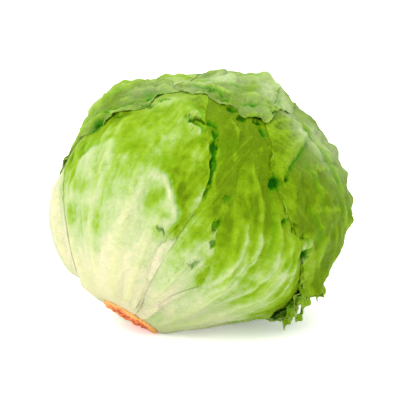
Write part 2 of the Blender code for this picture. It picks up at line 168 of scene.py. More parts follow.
# Each leaf: name, degrees of its base from the stem, where its base starts, has its midrib and ends
# round the stem, its middle, rib columns, fine columns, and its margin from one side over the tip to
# the other as degrees from the stem, degrees round, and height of the frill there.
LEAVES = (
    ("leaf_left", 16.2, (-168, -118, -62), (75, -112), 14, 60, (
        (28, -164, 0), (52, -160, 0), (82, -158, 0), (110, -154, 0), (130, -138, 0), (137, -110, 0),
        (130, -82, 0), (112, -64, 0), (90, -57, 0), (66, -54, 0), (44, -55, 0), (28, -60, 0))),
    ("leaf_bottom", 15.6, (8, 62, 116), (75, 50), 16, 120, (
        (28, 5, 0), (52, -4, 0), (80, -8, 0), (108, -12, 0), (128, -10, 0), (137, 8, 0),
        (135, 32, 0), (125, 52, 0), (107, 70, 0), (88, 86, 0), (68, 100, 0), (48, 110, 0), (28, 114, 0))),
    ("leaf_middle", 15.0, (-52, -14, 22), (68, -10), 14, 110, (
        (28, -42, 0), (50, -38, 0), (75, -38, 0), (98, -38, 0), (118, -34, 0), (132, -22, 0),
        (132, -8, 0), (124, 1, 0.5), (115, 5, 1), (106, 7, 1), (96, 8, 1), (86, 10, 1.5), (78, 12, 2),
        (70, 14, 2.5), (63, 17, 2), (56, 21, 1), (50, 24, 0.5), (45, 21, 0), (38, 17, 0), (28, 16, 0))),
    ("leaf_front", 14.8, (-112, -30, 5), (68, -38), 16, 130, (
        (25, -88, 0), (37, -71, 0.5), (51, -68, 1), (61, -72, 1.5), (71, -77, 2.5), (80, -76, 2),
        (91, -69, 1), (106, -67, 0), (122, -60, 0), (134, -46, 0), (130, -30, 0.5), (117, -19, 1.5),
        (103, -10, 1), (91, -2, 0.5), (76, 1, 0.5), (66, -1, 1), (57, -5, 2), (48, -4, 1),
        (38, -2, 0.5), (26, 2, 0))),
    ("leaf_right", 15.6, (96, 138, 184), (84, 108), 20, 140, (
        (30, 99, 0), (45, 99, 1), (56, 94, 3), (62, 89, 6.5), (66, 83, 9), (70, 76, 8), (74, 69, 5.5),
        (78, 62, 4), (84, 56, 3.5), (90, 51, 3), (93, 46, 2.5), (92, 40, 2.5), (92, 34, 2.5), (96, 28, 2.5),
        (102, 22, 2.5), (110, 16, 2.5), (119, 12, 2), (128, 7, 1.5), (142, 3, 0), (158, 8, 0),
        (170, 55, 0), (167, 110, 0), (150, 144, 0), (122, 162, 0), (92, 172, 0), (62, 180, 0),
        (42, 184, 0), (28, 185, 0))),
    ("leaf_top_left", 16.0, (190, 216, 244), (95, 235), 18, 130, (
        (28, 190, 0), (50, 182, 0), (80, 174, 0), (110, 170, 0), (136, 176, 0), (152, 202, 0),
        (158, 250, 0), (152, 290, 0), (141, 314, 0), (131, 320, 1.5), (121, 320, 3), (113, 317, 3.5),
        (106, 315, 3.5), (100, 311, 4), (95, 303, 4), (86, 299, 3.5), (83, 288, 3), (81, 281, 2.5),
        (73, 275, 3), (71, 267, 2), (71, 258, 1.5), (64, 250, 1), (53, 246, 1), (40, 244, 0.5),
        (28, 243, 0))),
    ("leaf_crown", 15.2, (166, 190, 218), (125, 180), 22, 120, (
        (28, 163, 0), (58, 156, 0.5), (92, 150, 1), (120, 143, 2), (144, 132, 2), (160, 104, 1.5),
        (163, 62, 1), (154, 40, 1), (144, 24, 2.5), (134, 12, 4), (124, 9, 4.5), (121, 2, 4),
        (122, -7, 3.5), (123, -17, 3), (125, -27, 2.5), (122, -35, 1.5), (121, -43, 0.5), (130, -52, 0.3),
        (142, -68, 0.5), (150, -100, 1.5), (138, -136, 2), (108, -150, 1.5), (66, -148, 0.5),
        (28, -142, 0))),
    ("leaf_back", 14.6, (160, 196, 240), (62, 196), 14, 70, (
        (28, 154, 0.5), (48, 150, 1.5), (70, 150, 3), (88, 156, 5), (100, 168, 6), (106, 184, 6),
        (106, 202, 6), (99, 220, 6), (87, 234, 5), (70, 243, 3), (48, 247, 1.5), (28, 246, 0.5))),
)

# How green each leaf is, from 0, cream, to 1, deep green: at its base, at its margin, and between
# which degrees from the stem it turns; how grey its bloom and painted sheen are, how puckered it is,
# and how dark the painted shade line under its margin is. Spots add to the green, as degrees from the
# stem, degrees round, reach in degrees and amount.
LOOKS = {
    "leaf_left": (0.06, 0.62, 40, 125, 0.0, 0.5, 0.0, ()),
    "leaf_bottom": (0.20, 0.88, 30, 82, 0.0, 0.7, 0.0, (
        (76, 54, 10, -0.16), (68, 40, 10, -0.26), (80, 30, 8, -0.12), (60, 27, 7, 0.16), (60, 62, 14, 0.06),
        (116, 10, 18, 0.22), (96, 26, 10, 0.10))),
    "leaf_middle": (0.02, 0.90, 26, 76, 0.0, 1.1, 0.10, (
        (44, 14, 10, -0.06), (66, 6, 9, -0.32), (88, 5, 14, 0.08), (116, -4, 16, 0.30))),
    # Of the front leaf's spots, the one at 90, -62 is painted shade: deep green where the hollow under the
    # top left leaf's margin lies in shade.
    "leaf_front": (0.00, 0.66, 34, 98, 0.0, 0.9, 0.2, (
        (53, -68, 16, 0.24), (74, -68, 8, 0.22), (66, -56, 6, 0.20), (63, -38, 11, 0.12), (87, -33, 6, 0.08),
        (88, -21, 7, -0.08), (73, -17, 5, 0.10), (83, -4, 9, 0.33), (97, -9, 11, 0.14), (67, 1, 6, 0.30),
        (77, -10, 3, -0.22), (62, -8, 4, 0.35), (58, -10, 6, -0.06), (52, -42, 10, 0.18), (94, -50, 7, 0.32),
        (96, -39, 6, 0.20), (90, -62, 6, 0.30), (122, -44, 12, 0.18))),
    # The right leaf's spot at 66, 84 makes its tail paler, partly its own colour and partly painted light
    # that lifts the shadowed tail.
    "leaf_right": (0.15, 0.98, 25, 60, 0.0, 1.4, 0.0, ((66, 84, 16, -0.20), (86, 62, 12, -0.12))),
    # The top left leaf's spot at 94, -56 is painted shade: deep green in the hollows along its margin.
    "leaf_top_left": (0.10, 0.80, 25, 70, 0.25, 2.1, 0.12, (
        (96, -74, 9, -0.10), (94, -56, 10, 0.34), (108, -46, 9, 0.28))),
    "leaf_crown": (0.10, 0.84, 25, 75, 0.34, 1.8, 0.2, (
        (130, -22, 12, 0.26), (122, -4, 8, 0.15), (162, 10, 12, -0.16))),
    "leaf_back": (0.08, 0.78, 25, 85, 0.15, 1.0, 0.4, ()),
}

# Waxy bloom and painted sheen that grey the leaves: degrees from the stem, degrees round, reach in degrees,
# amount
BLOOM_AND_SHEEN = (
    (136, 60, 16, 0.75),
    (128, 34, 9, 0.40),
    (118, -46, 12, 0.40),
    (144, -46, 12, 0.9),
    (150, 14, 10, 1.0),
    (166, 12, 11, 0.9),
    (137, 34, 10, 0.75),
)

# Pockets pressed into a leaf and those under it: leaf, degrees from the stem, degrees round, half
# length, half width, tilt of the length in degrees anticlockwise from level as seen, depth. Each gets
# painted shade inside and a paler lip as painted highlight.
POCKETS = (
    ("leaf_middle", 85, 9, 2.2, 1.4, 50, 1.1),
    ("leaf_middle", 74, 11, 3.2, 1.8, 60, 1.6),
    ("leaf_middle", 68, 14, 3.2, 1.6, 75, 1.6),
    ("leaf_middle", 57, 13, 3.2, 1.7, 20, 1.4),
    ("leaf_middle", 109, -12, 3.6, 2.0, -45, 2.2),
    ("leaf_middle", 106, -8, 4.6, 2.2, -75, 2.4),
    ("leaf_middle", 101, -6, 5.0, 2.2, 88, 2.5),
    ("leaf_middle", 96.5, -4, 5.0, 2.0, 82, 2.3),
    ("leaf_middle", 92, -2, 5.0, 1.9, 75, 2.1),
    ("leaf_middle", 87.5, 0, 4.6, 1.7, 65, 1.9),
    ("leaf_middle", 83, 1, 4.2, 1.4, 58, 1.5),
    ("leaf_middle", 121, -9, 4.5, 2.0, -25, 2.2),
    ("leaf_middle", 119, -2, 3.0, 2.0, -30, 2.0),
    ("leaf_bottom", 122, 5, 3.6, 2.4, -50, 2.4),
    ("leaf_crown", 128, -28, 6.0, 1.6, -38, 1.8),
    ("leaf_crown", 126, -17, 4.5, 1.5, -35, 1.8),
    ("leaf_crown", 132, 10, 3.4, 1.0, 5, 1.4),
    ("leaf_right", 146, 24, 3.0, 1.0, 10, 1.2),
    ("leaf_top_left", 90, -62, 5.4, 4.0, 60, 2.6),
    ("leaf_top_left", 96, -53, 4.0, 2.0, 15, 2.0),
    ("leaf_top_left", 105, -44, 6.0, 1.8, 25, 2.2),
    ("leaf_top_left", 111, -40, 5.0, 1.6, 15, 2.2),
    ("leaf_top_left", 81, -68, 3.5, 1.2, 60, 1.4),
    ("leaf_front", 62, -7, 3.2, 1.3, -50, 1.5),
    ("leaf_front", 107, -20, 3.4, 1.5, 0, 1.8),
    ("leaf_front", 108, -16, 3.4, 1.5, -30, 1.8),
    ("leaf_right", 101, 22, 4.6, 3.4, 70, 3.0),
    ("leaf_right", 104, 26, 3.2, 2.2, 30, 2.2),
    ("leaf_right", 118, 10, 3.6, 2.5, 60, 2.6),
    ("leaf_right", 90, 34, 2.4, 1.8, 20, 2.2),
    ("leaf_right", 91, 39, 2.3, 1.6, -10, 2.0),
    ("leaf_right", 90, 45, 2.5, 1.8, 30, 2.2),
    ("leaf_right", 86, 52, 5.4, 3.8, 60, 3.0),
    ("leaf_right", 133, 44, 3.0, 1.6, 30, 1.0),
    ("leaf_right", 122, 50, 2.6, 1.5, 60, 0.9),
    ("leaf_right", 113, 66, 3.0, 1.6, 80, 0.9),
)

# Creases and ridges of each leaf: half width, depth (under 0 for a ridge), step, and their line as
# degrees from the stem and degrees round. A crease gets painted shade; a ridge is paler, partly as a
# pale vein and partly as painted highlight. With a step, the left of the line, as walked along it,
# stands that much higher and is paler, as painted highlight.
CREASES = {
    "leaf_crown": (
        (1.0, 1.3, 0.5, ((127, -9), (130, -3), (133, 3))),
        (1.1, 1.5, 0.8, ((139, 22), (134, 17), (131, 12), (133, 7))),
        (1.2, 1.2, 0.6, ((163, -10), (158, -40), (150, -50))),
        (1.0, 1.0, 0.5, ((156, 22), (150, 6), (146, -10))),
        (1.3, -1.1, 0.0, ((141, 20), (138, 2), (133, -14), (131, -28))),
        (1.3, -1.0, 0.0, ((150, 24), (147, -4), (141, -30), (138, -50))),
        (1.1, 1.4, 0.7, ((128, -46), (131, -34), (130, -22), (126, -12))),
        (1.0, 1.2, 0.6, ((138, -52), (142, -36), (141, -18), (137, -4))),
    ),
    "leaf_top_left": (
        (1.1, 1.5, -0.8, ((88, -70), (95, -63), (100, -57), (108, -49), (113, -43))),
        (1.2, 1.4, -0.8, ((94, -67), (99, -62), (104, -61), (108, -58))),
        (1.2, 1.4, -0.6, ((112, -58), (118, -52), (126, -47))),
        (1.1, 1.0, -0.6, ((84, -84), (92, -80), (101, -78))),
        (1.6, -1.0, 0.0, ((92, -84), (104, -72), (116, -66), (128, -60))),
    ),
    "leaf_front": (
        (1.2, 0.7, 1.2, ((62, -6), (69, -3), (75, -7), (79, -12), (82, -17), (81, -23))),
        (1.3, 0.9, -0.6, ((70, -68), (74, -63), (79, -57), (83, -50))),
        (1.2, 0.8, -0.5, ((75, -67), (81, -61), (85, -54))),
        (1.0, 1.3, 0.7, ((102, -11), (106, -15), (106, -22))),
        (1.2, 0.9, 0.4, ((109, -14), (113, -21), (112, -29))),
        (2.2, -1.2, 0.0, ((24, -34), (46, -28), (59, -24), (70, -22), (79, -20))),
        (1.8, -0.8, 0.0, ((26, -20), (48, -16), (62, -12), (72, -10))),
        (1.8, -0.7, 0.0, ((28, -52), (46, -44), (62, -40), (76, -40), (90, -44))),
        (1.6, -0.7, 0.0, ((72, -10), (86, -8), (98, -12), (106, -14))),
    ),
    "leaf_right": (
        (1.4, 1.5, 0.8, ((104, 24), (114, 28), (122, 32), (133, 38))),
        (1.0, -0.6, 0.0, ((127, 14), (132, 22), (135, 34))),
        (1.0, -0.6, 0.0, ((118, 14), (126, 22), (132, 32), (137, 44))),
        (1.2, 1.1, 0.6, ((140, 30), (136, 44), (126, 56), (114, 62))),
        (1.1, -0.6, 0.0, ((133, 46), (124, 58), (112, 68), (98, 72))),
        (1.2, -1.1, 0.0, ((122, 11), (130, 16), (136, 28), (139, 42))),
        (1.2, -1.1, 0.0, ((114, 22), (124, 27), (136, 38), (147, 56))),
        (1.2, -0.9, 0.0, ((112, 36), (120, 46), (128, 60))),
        (1.2, -0.8, 0.0, ((98, 38), (104, 50), (110, 64))),
        (1.3, 0.9, 0.5, ((120, 30), (113, 40), (105, 47))),
        (1.2, 0.8, 0.5, ((100, 36), (98, 48), (91, 60))),
    ),
    "leaf_middle": (
        (1.2, -1.0, 0.0, ((116, -6), (110, 0), (98, 5))),
        (1.1, -0.9, 0.0, ((108, -10), (99, -6), (91, 0), (82, 6))),
        (1.0, -0.7, 0.0, ((112, -12), (102, -10), (94, -5), (86, 1))),
        (1.2, 0.8, -0.4, ((108, -4), (98, 0), (90, 5))),
    ),
    "leaf_bottom": (
        (1.3, -1.1, 0.0, ((114, 12), (102, 11), (94, 18), (84, 26), (72, 32), (56, 34), (38, 36))),
        (1.1, -0.9, 0.0, ((108, 14), (98, 15), (88, 22), (78, 29), (66, 31), (50, 31), (36, 32))),
        (1.2, -1.0, 0.0, ((92, 12), (86, 18), (76, 24), (66, 27), (52, 27), (36, 28))),
        (1.2, -1.0, 0.0, ((92, 28), (84, 36), (74, 41), (60, 42), (42, 42))),
        (1.1, -0.9, 0.0, ((88, 38), (79, 46), (68, 49), (52, 50), (36, 50))),
        (1.2, -0.9, 0.0, ((84, 46), (76, 53), (66, 57), (50, 59), (36, 59))),
        (1.3, 0.7, 0.2, ((106, 16), (94, 24), (84, 32), (72, 39))),
    ),
}

# Bumps of each leaf: degrees from the stem, degrees round, reach and height
BUMPS = {
    "leaf_crown": (
        (155, -56, 4.0, 2.6), (140, -80, 6.0, 1.6), (168, -4, 5.0, 1.5), (163, 14, 4.5, 1.2),
        (146, -66, 5.0, 1.5),
    ),
    "leaf_right": (
        (137, 68, 3.5, 2.6), (128, 76, 3.5, 2.4), (119, 80, 3.0, 1.6), (110, 78, 4.0, 2.6),
        (97, 79, 3.5, 1.6), (85, 76, 7.0, 4.0), (79, 77, 5.0, 3.0),
    ),
    "leaf_top_left": (
        (75, -86, 3.5, 4.0),
    ),
}

# Noises of a blade. Over the ball: cell in millimetres, seed. Along the veins: cells to a rib column,
# cells from the base to the margin, seed.
BALL_NOISE = {
    "net": (7.0, 21), "fine_net": (3.6, 22), "pucker": (6.0, 23), "fine_pucker": (3.1, 24),
    "swell": (10.5, 27), "crumple": (4.4, 26), "blister": (BLISTER_CELL, 0),
}
VEIN_NOISE = {"streak": (2.6, 3.0, 25), "thread": (7.0, 7.0, 36), "fibre": (14.0, 11.0, 38)}

# What the noises do: heights of the puckers in millimetres, and what the streaks add to the green
PUCKERS = {"pucker": 0.35, "swell": 0.5, "net": -0.3, "crease": -1.1, "crinkle": 0.75}
STREAKS = {"streak": 0.14, "thread": 0.10, "fibre": 0.09}

# Mottle of the green: amount, cell in millimetres, seed
MOTTLE = ((0.13, 13.0, 32), (0.10, 5.5, 33), (0.08, 2.8, 37))

# Crumples: share of the whole, cell in millimetres, seed
CRUMPLES = ((0.6, 8.5, 4), (0.4, 3.7, 5))

# How far a margin curls over, in degrees: a thin one, a frilled one, and what waves and twists add
THIN_CURL = 22.0
FRILL_CURL = 34.0
WAVE_CURL = 28.0
TWIST_CURL = 48.0

# Odd multipliers that scatter the cells of the noise
SCATTER = (374761393, 668265263, 974634777)
STIR = 1274126177

# The strands of the tail: length of a ruffle, noises that shift the ruffles and tear the edges, and
# how much narrower a strand is at its end
RUFFLE_WAVE = 5.6
RUFFLE_CELL = 7.0
STRAND_JAG_CELL = 2.6
STRAND_THINS = 0.55

# Torn strands that hang from the tail of the right leaf to the floor: half width, and places along
# their middle line in millimetres
STRANDS = (
    (3.4, ((54.0, -44.0, 31.5), (52.8, -43.0, 24.5), (50.3, -40.0, 18.0), (47.6, -37.0, 12.0),
           (45.4, -34.0, 6.4), (44.6, -31.5, 1.6))),
    (3.0, ((57.5, -36.0, 28.0), (56.5, -35.5, 20.0), (54.8, -33.0, 13.5), (52.4, -31.0, 8.1),
           (51.2, -29.0, 4.0))),
    (3.2, ((54.0, -12.0, 33.0), (59.5, -14.0, 29.5), (64.0, -16.5, 25.5), (65.6, -18.5, 20.5),
           (64.6, -20.0, 16.2), (61.6, -22.0, 14.2))),
)


def direction(from_stem, round_head):
    """Unit vectors at so many degrees from the stem and so many round the head."""
    polar = np.radians(np.asarray(from_stem, float))[..., None]
    turn = np.radians(np.asarray(round_head, float))[..., None]
    across = np.cos(turn) * FRONT_WAY + np.sin(turn) * SIDE_WAY
    return np.cos(polar) * STEM_WAY + np.sin(polar) * across


def unit(vectors):
    """The same vectors at length 1."""
    return vectors / np.maximum(np.linalg.norm(vectors, axis=-1), 1e-9)[..., None]


def degrees_off(ways, way):
    """How many degrees each direction is from one way."""
    return np.degrees(np.arccos(np.clip(ways @ way, -1.0, 1.0)))


def ramp(value, low, high):
    """0 at low, 1 at high, smooth between."""
    share = np.clip((value - low) / (high - low), 0.0, 1.0)
    return share * share * (3.0 - 2.0 * share)


def lattice(cells, seed):
    """A fixed number from -1 to 1 for each whole-number cell."""
    mixed = ((cells * SCATTER).sum(axis=-1) + seed * STIR) & 0xFFFFFFFF
    mixed = ((mixed ^ (mixed >> 13)) * STIR) & 0xFFFFFFFF
    return ((mixed ^ (mixed >> 16)) & 0xFFFF) / 32767.5 - 1.0


def drift(points, seed):
    """Smooth noise from -1 to 1 with one cell to each unit."""
    floor = np.floor(points)
    part = points - floor
    part = part * part * (3.0 - 2.0 * part)
    cells = floor.astype(np.int64)
    total = np.zeros(points.shape[:-1])
    for corner in range(8):
        step = np.array([corner & 1, corner >> 1 & 1, corner >> 2 & 1])
        share = np.where(step, part, 1.0 - part).prod(axis=-1)
        total += share * lattice(cells + step, seed)
    return total


def drift_along(along, across, seed):
    """The same noise over two numbers."""
    return drift(np.stack([along, across, np.full_like(along, 0.5)], axis=-1), seed)


def drift_on(along, seed):
    """The same noise over one number."""
    return drift_along(along, 0.0 * along, seed)


def warp(places, amount, cell, seed):
    """Three smooth noises that push places about."""
    return amount * np.stack([drift(places / cell, seed + axis) for axis in range(3)], axis=1)


def ball_radius(ways):
    """How far the outside of the head is from its middle, in each direction."""
    radius = 1.0 / np.linalg.norm(ways / HALF_SIZE, axis=-1)
    for from_stem, round_head, height, reach in SWELLS:
        radius = radius + height * spot(ways, from_stem, round_head, reach)
    radius = radius + UNEVEN * drift(ways * NOMINAL_RADIUS / UNEVEN_CELL, UNEVEN_SEED)
    to_floor = MIDDLE[2] / np.maximum(-ways[..., 2], 1e-6)
    return np.minimum(radius, to_floor)


def spot(ways, from_stem, round_head, reach):
    """A soft round spot: 1 in its middle, fading over so many degrees."""
    away = degrees_off(ways, direction(from_stem, round_head))
    return np.exp(-((away / reach) ** 2))


def smooth_curve(points, steps):
    """A Catmull-Rom curve through the points, cut into equal steps of its length in the plane."""
    ends = np.vstack([2 * points[0] - points[1], points, 2 * points[-1] - points[-2]])
    share = np.linspace(0.0, 1.0, CURVE_CUTS, endpoint=False)[:, None]
    pieces = []
    for p0, p1, p2, p3 in zip(ends[:-3], ends[1:-2], ends[2:-1], ends[3:]):
        pieces.append(0.5 * (2 * p1 + (p2 - p0) * share + (2 * p0 - 5 * p1 + 4 * p2 - p3) * share**2
                             + (3 * p1 - p0 - 3 * p2 + p3) * share**3))
    curve = np.vstack(pieces + [points[-1:]])
    length = np.append(0.0, np.cumsum(np.linalg.norm(np.diff(curve[:, :2], axis=0), axis=1)))
    wanted = np.linspace(0.0, length[-1], steps + 1)
    return np.stack([np.interp(wanted, length, column) for column in curve.T], axis=1), length[-1]


class Leaf:
    """One leaf: its outline on a flat map of the head about the leaf's own middle."""

    def __init__(self, name, base_angle, base_turns, middle, columns, fine_columns, margin):
        self.name = name
        self.columns = columns
        self.fine_columns = fine_columns
        self.seed = sum(map(ord, name))
        self.base_angle = base_angle
        self.base_turns = base_turns
        self.middle = direction(*middle)
        self.along = unit(self.middle * self.middle.dot(STEM_WAY) - STEM_WAY)
        self.across = np.cross(self.along, self.middle)
        self.pole = self.to_map(STEM_WAY)
        places = np.array(margin, float)
        flat = self.to_map(direction(places[:, 0], places[:, 1]))
        self.margin, self.margin_length = smooth_curve(np.column_stack([flat, places[:, 2]]), OUTLINE_STEPS)
        self.lobe_margin()
        self.heel = self.base(np.array([0.5]))[0]
        share = np.linspace(0.0, 1.0, 12)
        ones = np.ones_like(share)
        parts = (self.on_ray(share, 0 * ones)[:-1], self.margin[:, :2],
                 self.on_ray(share, ones)[::-1][1:], self.base(share[::-1])[1:-1])
        self.outline = np.vstack(parts)
        self.free = np.concatenate([np.full(len(part), float(part is parts[1])) for part in parts])
        self.frill = np.zeros(len(self.outline))
        self.frill[self.free > 0] = self.margin[:, 2]
        self.draw_map()

    def to_map(self, ways):
        """Map places of directions: along the leaf and across it, in millimetres over the ball."""
        angle = np.arccos(np.clip(ways @ self.middle, -1.0, 1.0))
        flat = np.stack([ways @ self.along, ways @ self.across], axis=-1)
        size = np.maximum(np.linalg.norm(flat, axis=-1), 1e-9)
        return flat * (angle * NOMINAL_RADIUS / size)[..., None]

    def from_map(self, flat):
        """Directions of map places."""
        size = np.maximum(np.linalg.norm(flat, axis=-1), 1e-9)[..., None]
        angle = size / NOMINAL_RADIUS
        sideways = (flat[..., :1] * self.along + flat[..., 1:] * self.across) / size
        return np.cos(angle) * self.middle + np.sin(angle) * sideways

    def lobe_margin(self):
        """Shallow lobes along the frilly stretches of the margin."""
        walked = np.linspace(0.0, self.margin_length, len(self.margin))
        tangent = np.gradient(self.margin[:, :2], axis=0)
        outward = unit(np.stack([tangent[:, 1], -tangent[:, 0]], axis=1))
        wave = np.sin(2 * np.pi * walked / LOBE_WAVE + self.seed)
        self.margin[:, :2] += outward * (LOBE * self.margin[:, 2] * wave)[:, None]

    def base(self, share):
        """Map places along the base, round the stem."""
        low, mid, high = self.base_turns
        turn = low + (4 * mid - 3 * low - high) * share + 2 * (low + high - 2 * mid) * share**2
        return self.to_map(direction(np.full_like(share, self.base_angle), turn))

    def on_margin(self, share):
        """Map places and frill heights along the margin."""
        steps = np.linspace(0.0, 1.0, len(self.margin))
        return np.stack([np.interp(share, steps, column) for column in self.margin.T], axis=-1)

    def on_ray(self, reach, share):
        """Map places at a share of the way along the veins, which fan from the base to the margin."""
        start = self.base(share)
        end = self.on_margin(share)[..., :2]
        length = np.linalg.norm(end - start, axis=-1)[..., None]
        bend = start + unit(start - self.pole) * FAN * length
        reach = reach[..., None]
        return (1 - reach) ** 2 * start + 2 * reach * (1 - reach) * bend + reach**2 * end

    def inside(self, flat):
        """Distance of map places from the outline, over 0 inside it, and the nearest place on the outline."""
        ends = np.roll(self.outline, -1, axis=0)
        sides = ends - self.outline
        away = flat[:, None, :] - self.outline[None]
        share = np.clip((away * sides).sum(-1) / np.maximum((sides**2).sum(-1), 1e-9), 0.0, 1.0)
        distance = np.linalg.norm(away - share[..., None] * sides, axis=-1)
        rows = np.arange(len(flat))
        side = distance.argmin(axis=1)
        nearest = distance[rows, side]
        above = self.outline[:, 1] > flat[:, 1:]
        crossing = above != (ends[:, 1] > flat[:, 1:])
        rise = np.where(np.abs(sides[:, 1]) < 1e-9, 1e-9, sides[:, 1])
        meets = self.outline[:, 0] + (flat[:, 1:] - self.outline[:, 1]) * sides[:, 0] / rise
        odd = (crossing & (flat[:, :1] < meets)).sum(axis=1) % 2
        return np.stack([np.where(odd, nearest, -nearest), side + share[rows, side]], axis=1)

    def draw_map(self):
        """The distance from the outline, its slope and the nearest outline place, over a square grid."""
        self.corner = self.outline.min(axis=0) - MAP_MARGIN
        size = ((self.outline.max(axis=0) + MAP_MARGIN - self.corner) / MAP_STEP).astype(int) + 2
        lines = [self.corner[i] + MAP_STEP * np.arange(size[i]) for i in (0, 1)]
        places = np.stack(np.meshgrid(*lines, indexing="ij"), axis=-1).reshape(-1, 2)
        parts = np.array_split(places, len(places) // 4000 + 1)
        found = np.concatenate([self.inside(part) for part in parts]).reshape(*size, 2)
        edge = found[..., 0]
        steps = np.append(np.arange(len(self.outline)), len(self.outline))
        lengths = np.linalg.norm(np.roll(self.outline, -1, axis=0) - self.outline, axis=1)
        walked = np.interp(found[..., 1], steps, np.append(0.0, np.cumsum(lengths)))
        free = np.interp(found[..., 1], steps, np.append(self.free, self.free[0]))
        frill = np.interp(found[..., 1], steps, np.append(self.frill, self.frill[0]))
        self.drawn = np.stack([edge, *np.gradient(edge, MAP_STEP), free, frill, walked], axis=-1)

    def look_up(self, flat):
        """Distance from the outline, its slope, and the margin's freedom, frill and length there."""
        place = np.clip((flat - self.corner) / MAP_STEP, 0, np.array(self.drawn.shape[:2]) - 1.001)
        cell = place.astype(int)
        part = (place - cell)[..., None]
        i, j = cell[:, 0], cell[:, 1]
        low = self.drawn[i, j] * (1 - part[:, 0]) + self.drawn[i + 1, j] * part[:, 0]
        high = self.drawn[i, j + 1] * (1 - part[:, 0]) + self.drawn[i + 1, j + 1] * part[:, 0]
        found = low * (1 - part[:, 1]) + high * part[:, 1]
        near = np.round(place).astype(int)
        found[:, 5] = self.drawn[near[:, 0], near[:, 1], 5]
        return found

    def thickness(self, flat):
        """Thin blade, fleshy near the base."""
        away = np.linalg.norm(flat - self.heel, axis=-1)
        return BLADE + FLESH * np.exp(-((away / FLESH_REACH) ** 2))

    def press(self, flat, edge):
        """How far the leaf presses in what lies under it: less towards its thin margin."""
        return MARGIN_PRESS + (GAP + self.thickness(flat) - MARGIN_PRESS) * ramp(edge, 0.0, PRESS_REACH)


def layers_over(leaves, ways):
    """How far the leaves over a layer press it in, how bare it is, how much painted shade lies in a line
    beside their edges, and whether they cover it."""
    depth = np.zeros(len(ways))
    bare = np.ones(len(ways))
    seam_shade = np.zeros(len(ways))
    covered = np.zeros(len(ways))
    for leaf in leaves:
        flat = leaf.to_map(ways)
        found = leaf.look_up(flat)
        edge = found[:, 0]
        broken = 0.55 + 0.75 * drift_on(found[:, 5] / SEAM_CELL, leaf.seed + 15)
        depth += ramp(edge, -FOLLOW_TO, -FOLLOW_FROM) * leaf.press(flat, edge)
        bare *= 1.0 - ramp(edge, -BARE_TO, -BARE_FROM)
        covered = np.maximum(covered, ramp(edge, -2.5, 0.5))
        # Painted shade in a line beside the edge of each leaf over this one, broken up along the edge.
        seam_shade = np.maximum(seam_shade, LOOKS[leaf.name][6] * broken * ramp(edge, -SEAM_REACH, 0.5))
    return depth, bare, seam_shade, covered


def fine_grid(leaf):
    """Shares along and round the leaf for every grid point, and the triangles between them.

    The grid has more columns towards the margin, so that its cells stay about as wide as long."""
    tip = leaf.on_margin(np.array([0.5]))[0, :2]
    length = np.linalg.norm(tip - leaf.heel)
    inner = 1.0 - MARGIN_BAND / length
    rows = []
    for finer, start, end in ((1, 0.0, COARSE_REACH), (2, COARSE_REACH, inner)):
        places = np.linspace(start, end, round((end - start) * length / ROW_STEP), endpoint=False)
        rows += [(place, finer) for place in places]
    rows += [(place, 4) for place in np.linspace(inner, 1.0, round(MARGIN_BAND / MARGIN_STEP) + 1)]
    reach = []
    share = []
    starts = []
    count = 0
    for place, finer in rows:
        line = np.linspace(0.0, 1.0, leaf.fine_columns * finer + 1)
        starts.append(count)
        count += len(line)
        share.append(line)
        reach.append(np.full_like(line, place))
    faces = []
    for row in range(len(rows) - 1):
        cells = np.arange(leaf.fine_columns * rows[row][1])
        a = starts[row] + cells
        b = a + 1
        if rows[row][1] == rows[row + 1][1]:
            c = starts[row + 1] + cells
            d = c + 1
            odd = (cells + row) % 2 == 1
            faces.append(np.stack([a, b, np.where(odd, d, c)], axis=1))
            faces.append(np.stack([np.where(odd, a, b), d, c], axis=1))
        else:
            c = starts[row + 1] + 2 * cells
            faces.append(np.stack([a, c + 1, c], axis=1))
            faces.append(np.stack([a, b, c + 1], axis=1))
            faces.append(np.stack([b, c + 2, c + 1], axis=1))
    return np.concatenate(reach), np.concatenate(share), np.concatenate(faces)


def close_shell(faces, count):
    """The faces outside, the same ones turned round inside, and a strip along every open edge."""
    edges = np.concatenate([faces[:, [0, 1]], faces[:, [1, 2]], faces[:, [2, 0]]])
    keys = edges[:, 0] * count + edges[:, 1]
    back = edges[:, 1] * count + edges[:, 0]
    rim = edges[~np.isin(back, keys)]
    a, b = rim[:, 0], rim[:, 1]
    return np.concatenate([
        faces,
        faces[:, ::-1] + count,
        np.stack([b, a, a + count], axis=1),
        np.stack([b, a + count, b + count], axis=1),
    ])


def normals_of(points, faces):
    """The average outward direction at every point."""
    corners = points[faces]
    flat = np.cross(corners[:, 1] - corners[:, 0], corners[:, 2] - corners[:, 0])
    total = np.zeros_like(points)
    for corner in range(3):
        for axis in range(3):
            total[:, axis] += np.bincount(faces[:, corner], flat[:, axis], len(points))
    return unit(total)


def facing_out(points, faces):
    """The faces, turned round if they face into the head."""
    inwards = np.linalg.det(points[faces] - MIDDLE).sum() < 0
    return faces[:, ::-1] if inwards else faces


def on_both_sides(looks):
    """The looks of the outside, given to the inside too."""
    return {key: np.concatenate([value, value]) for key, value in looks.items()}


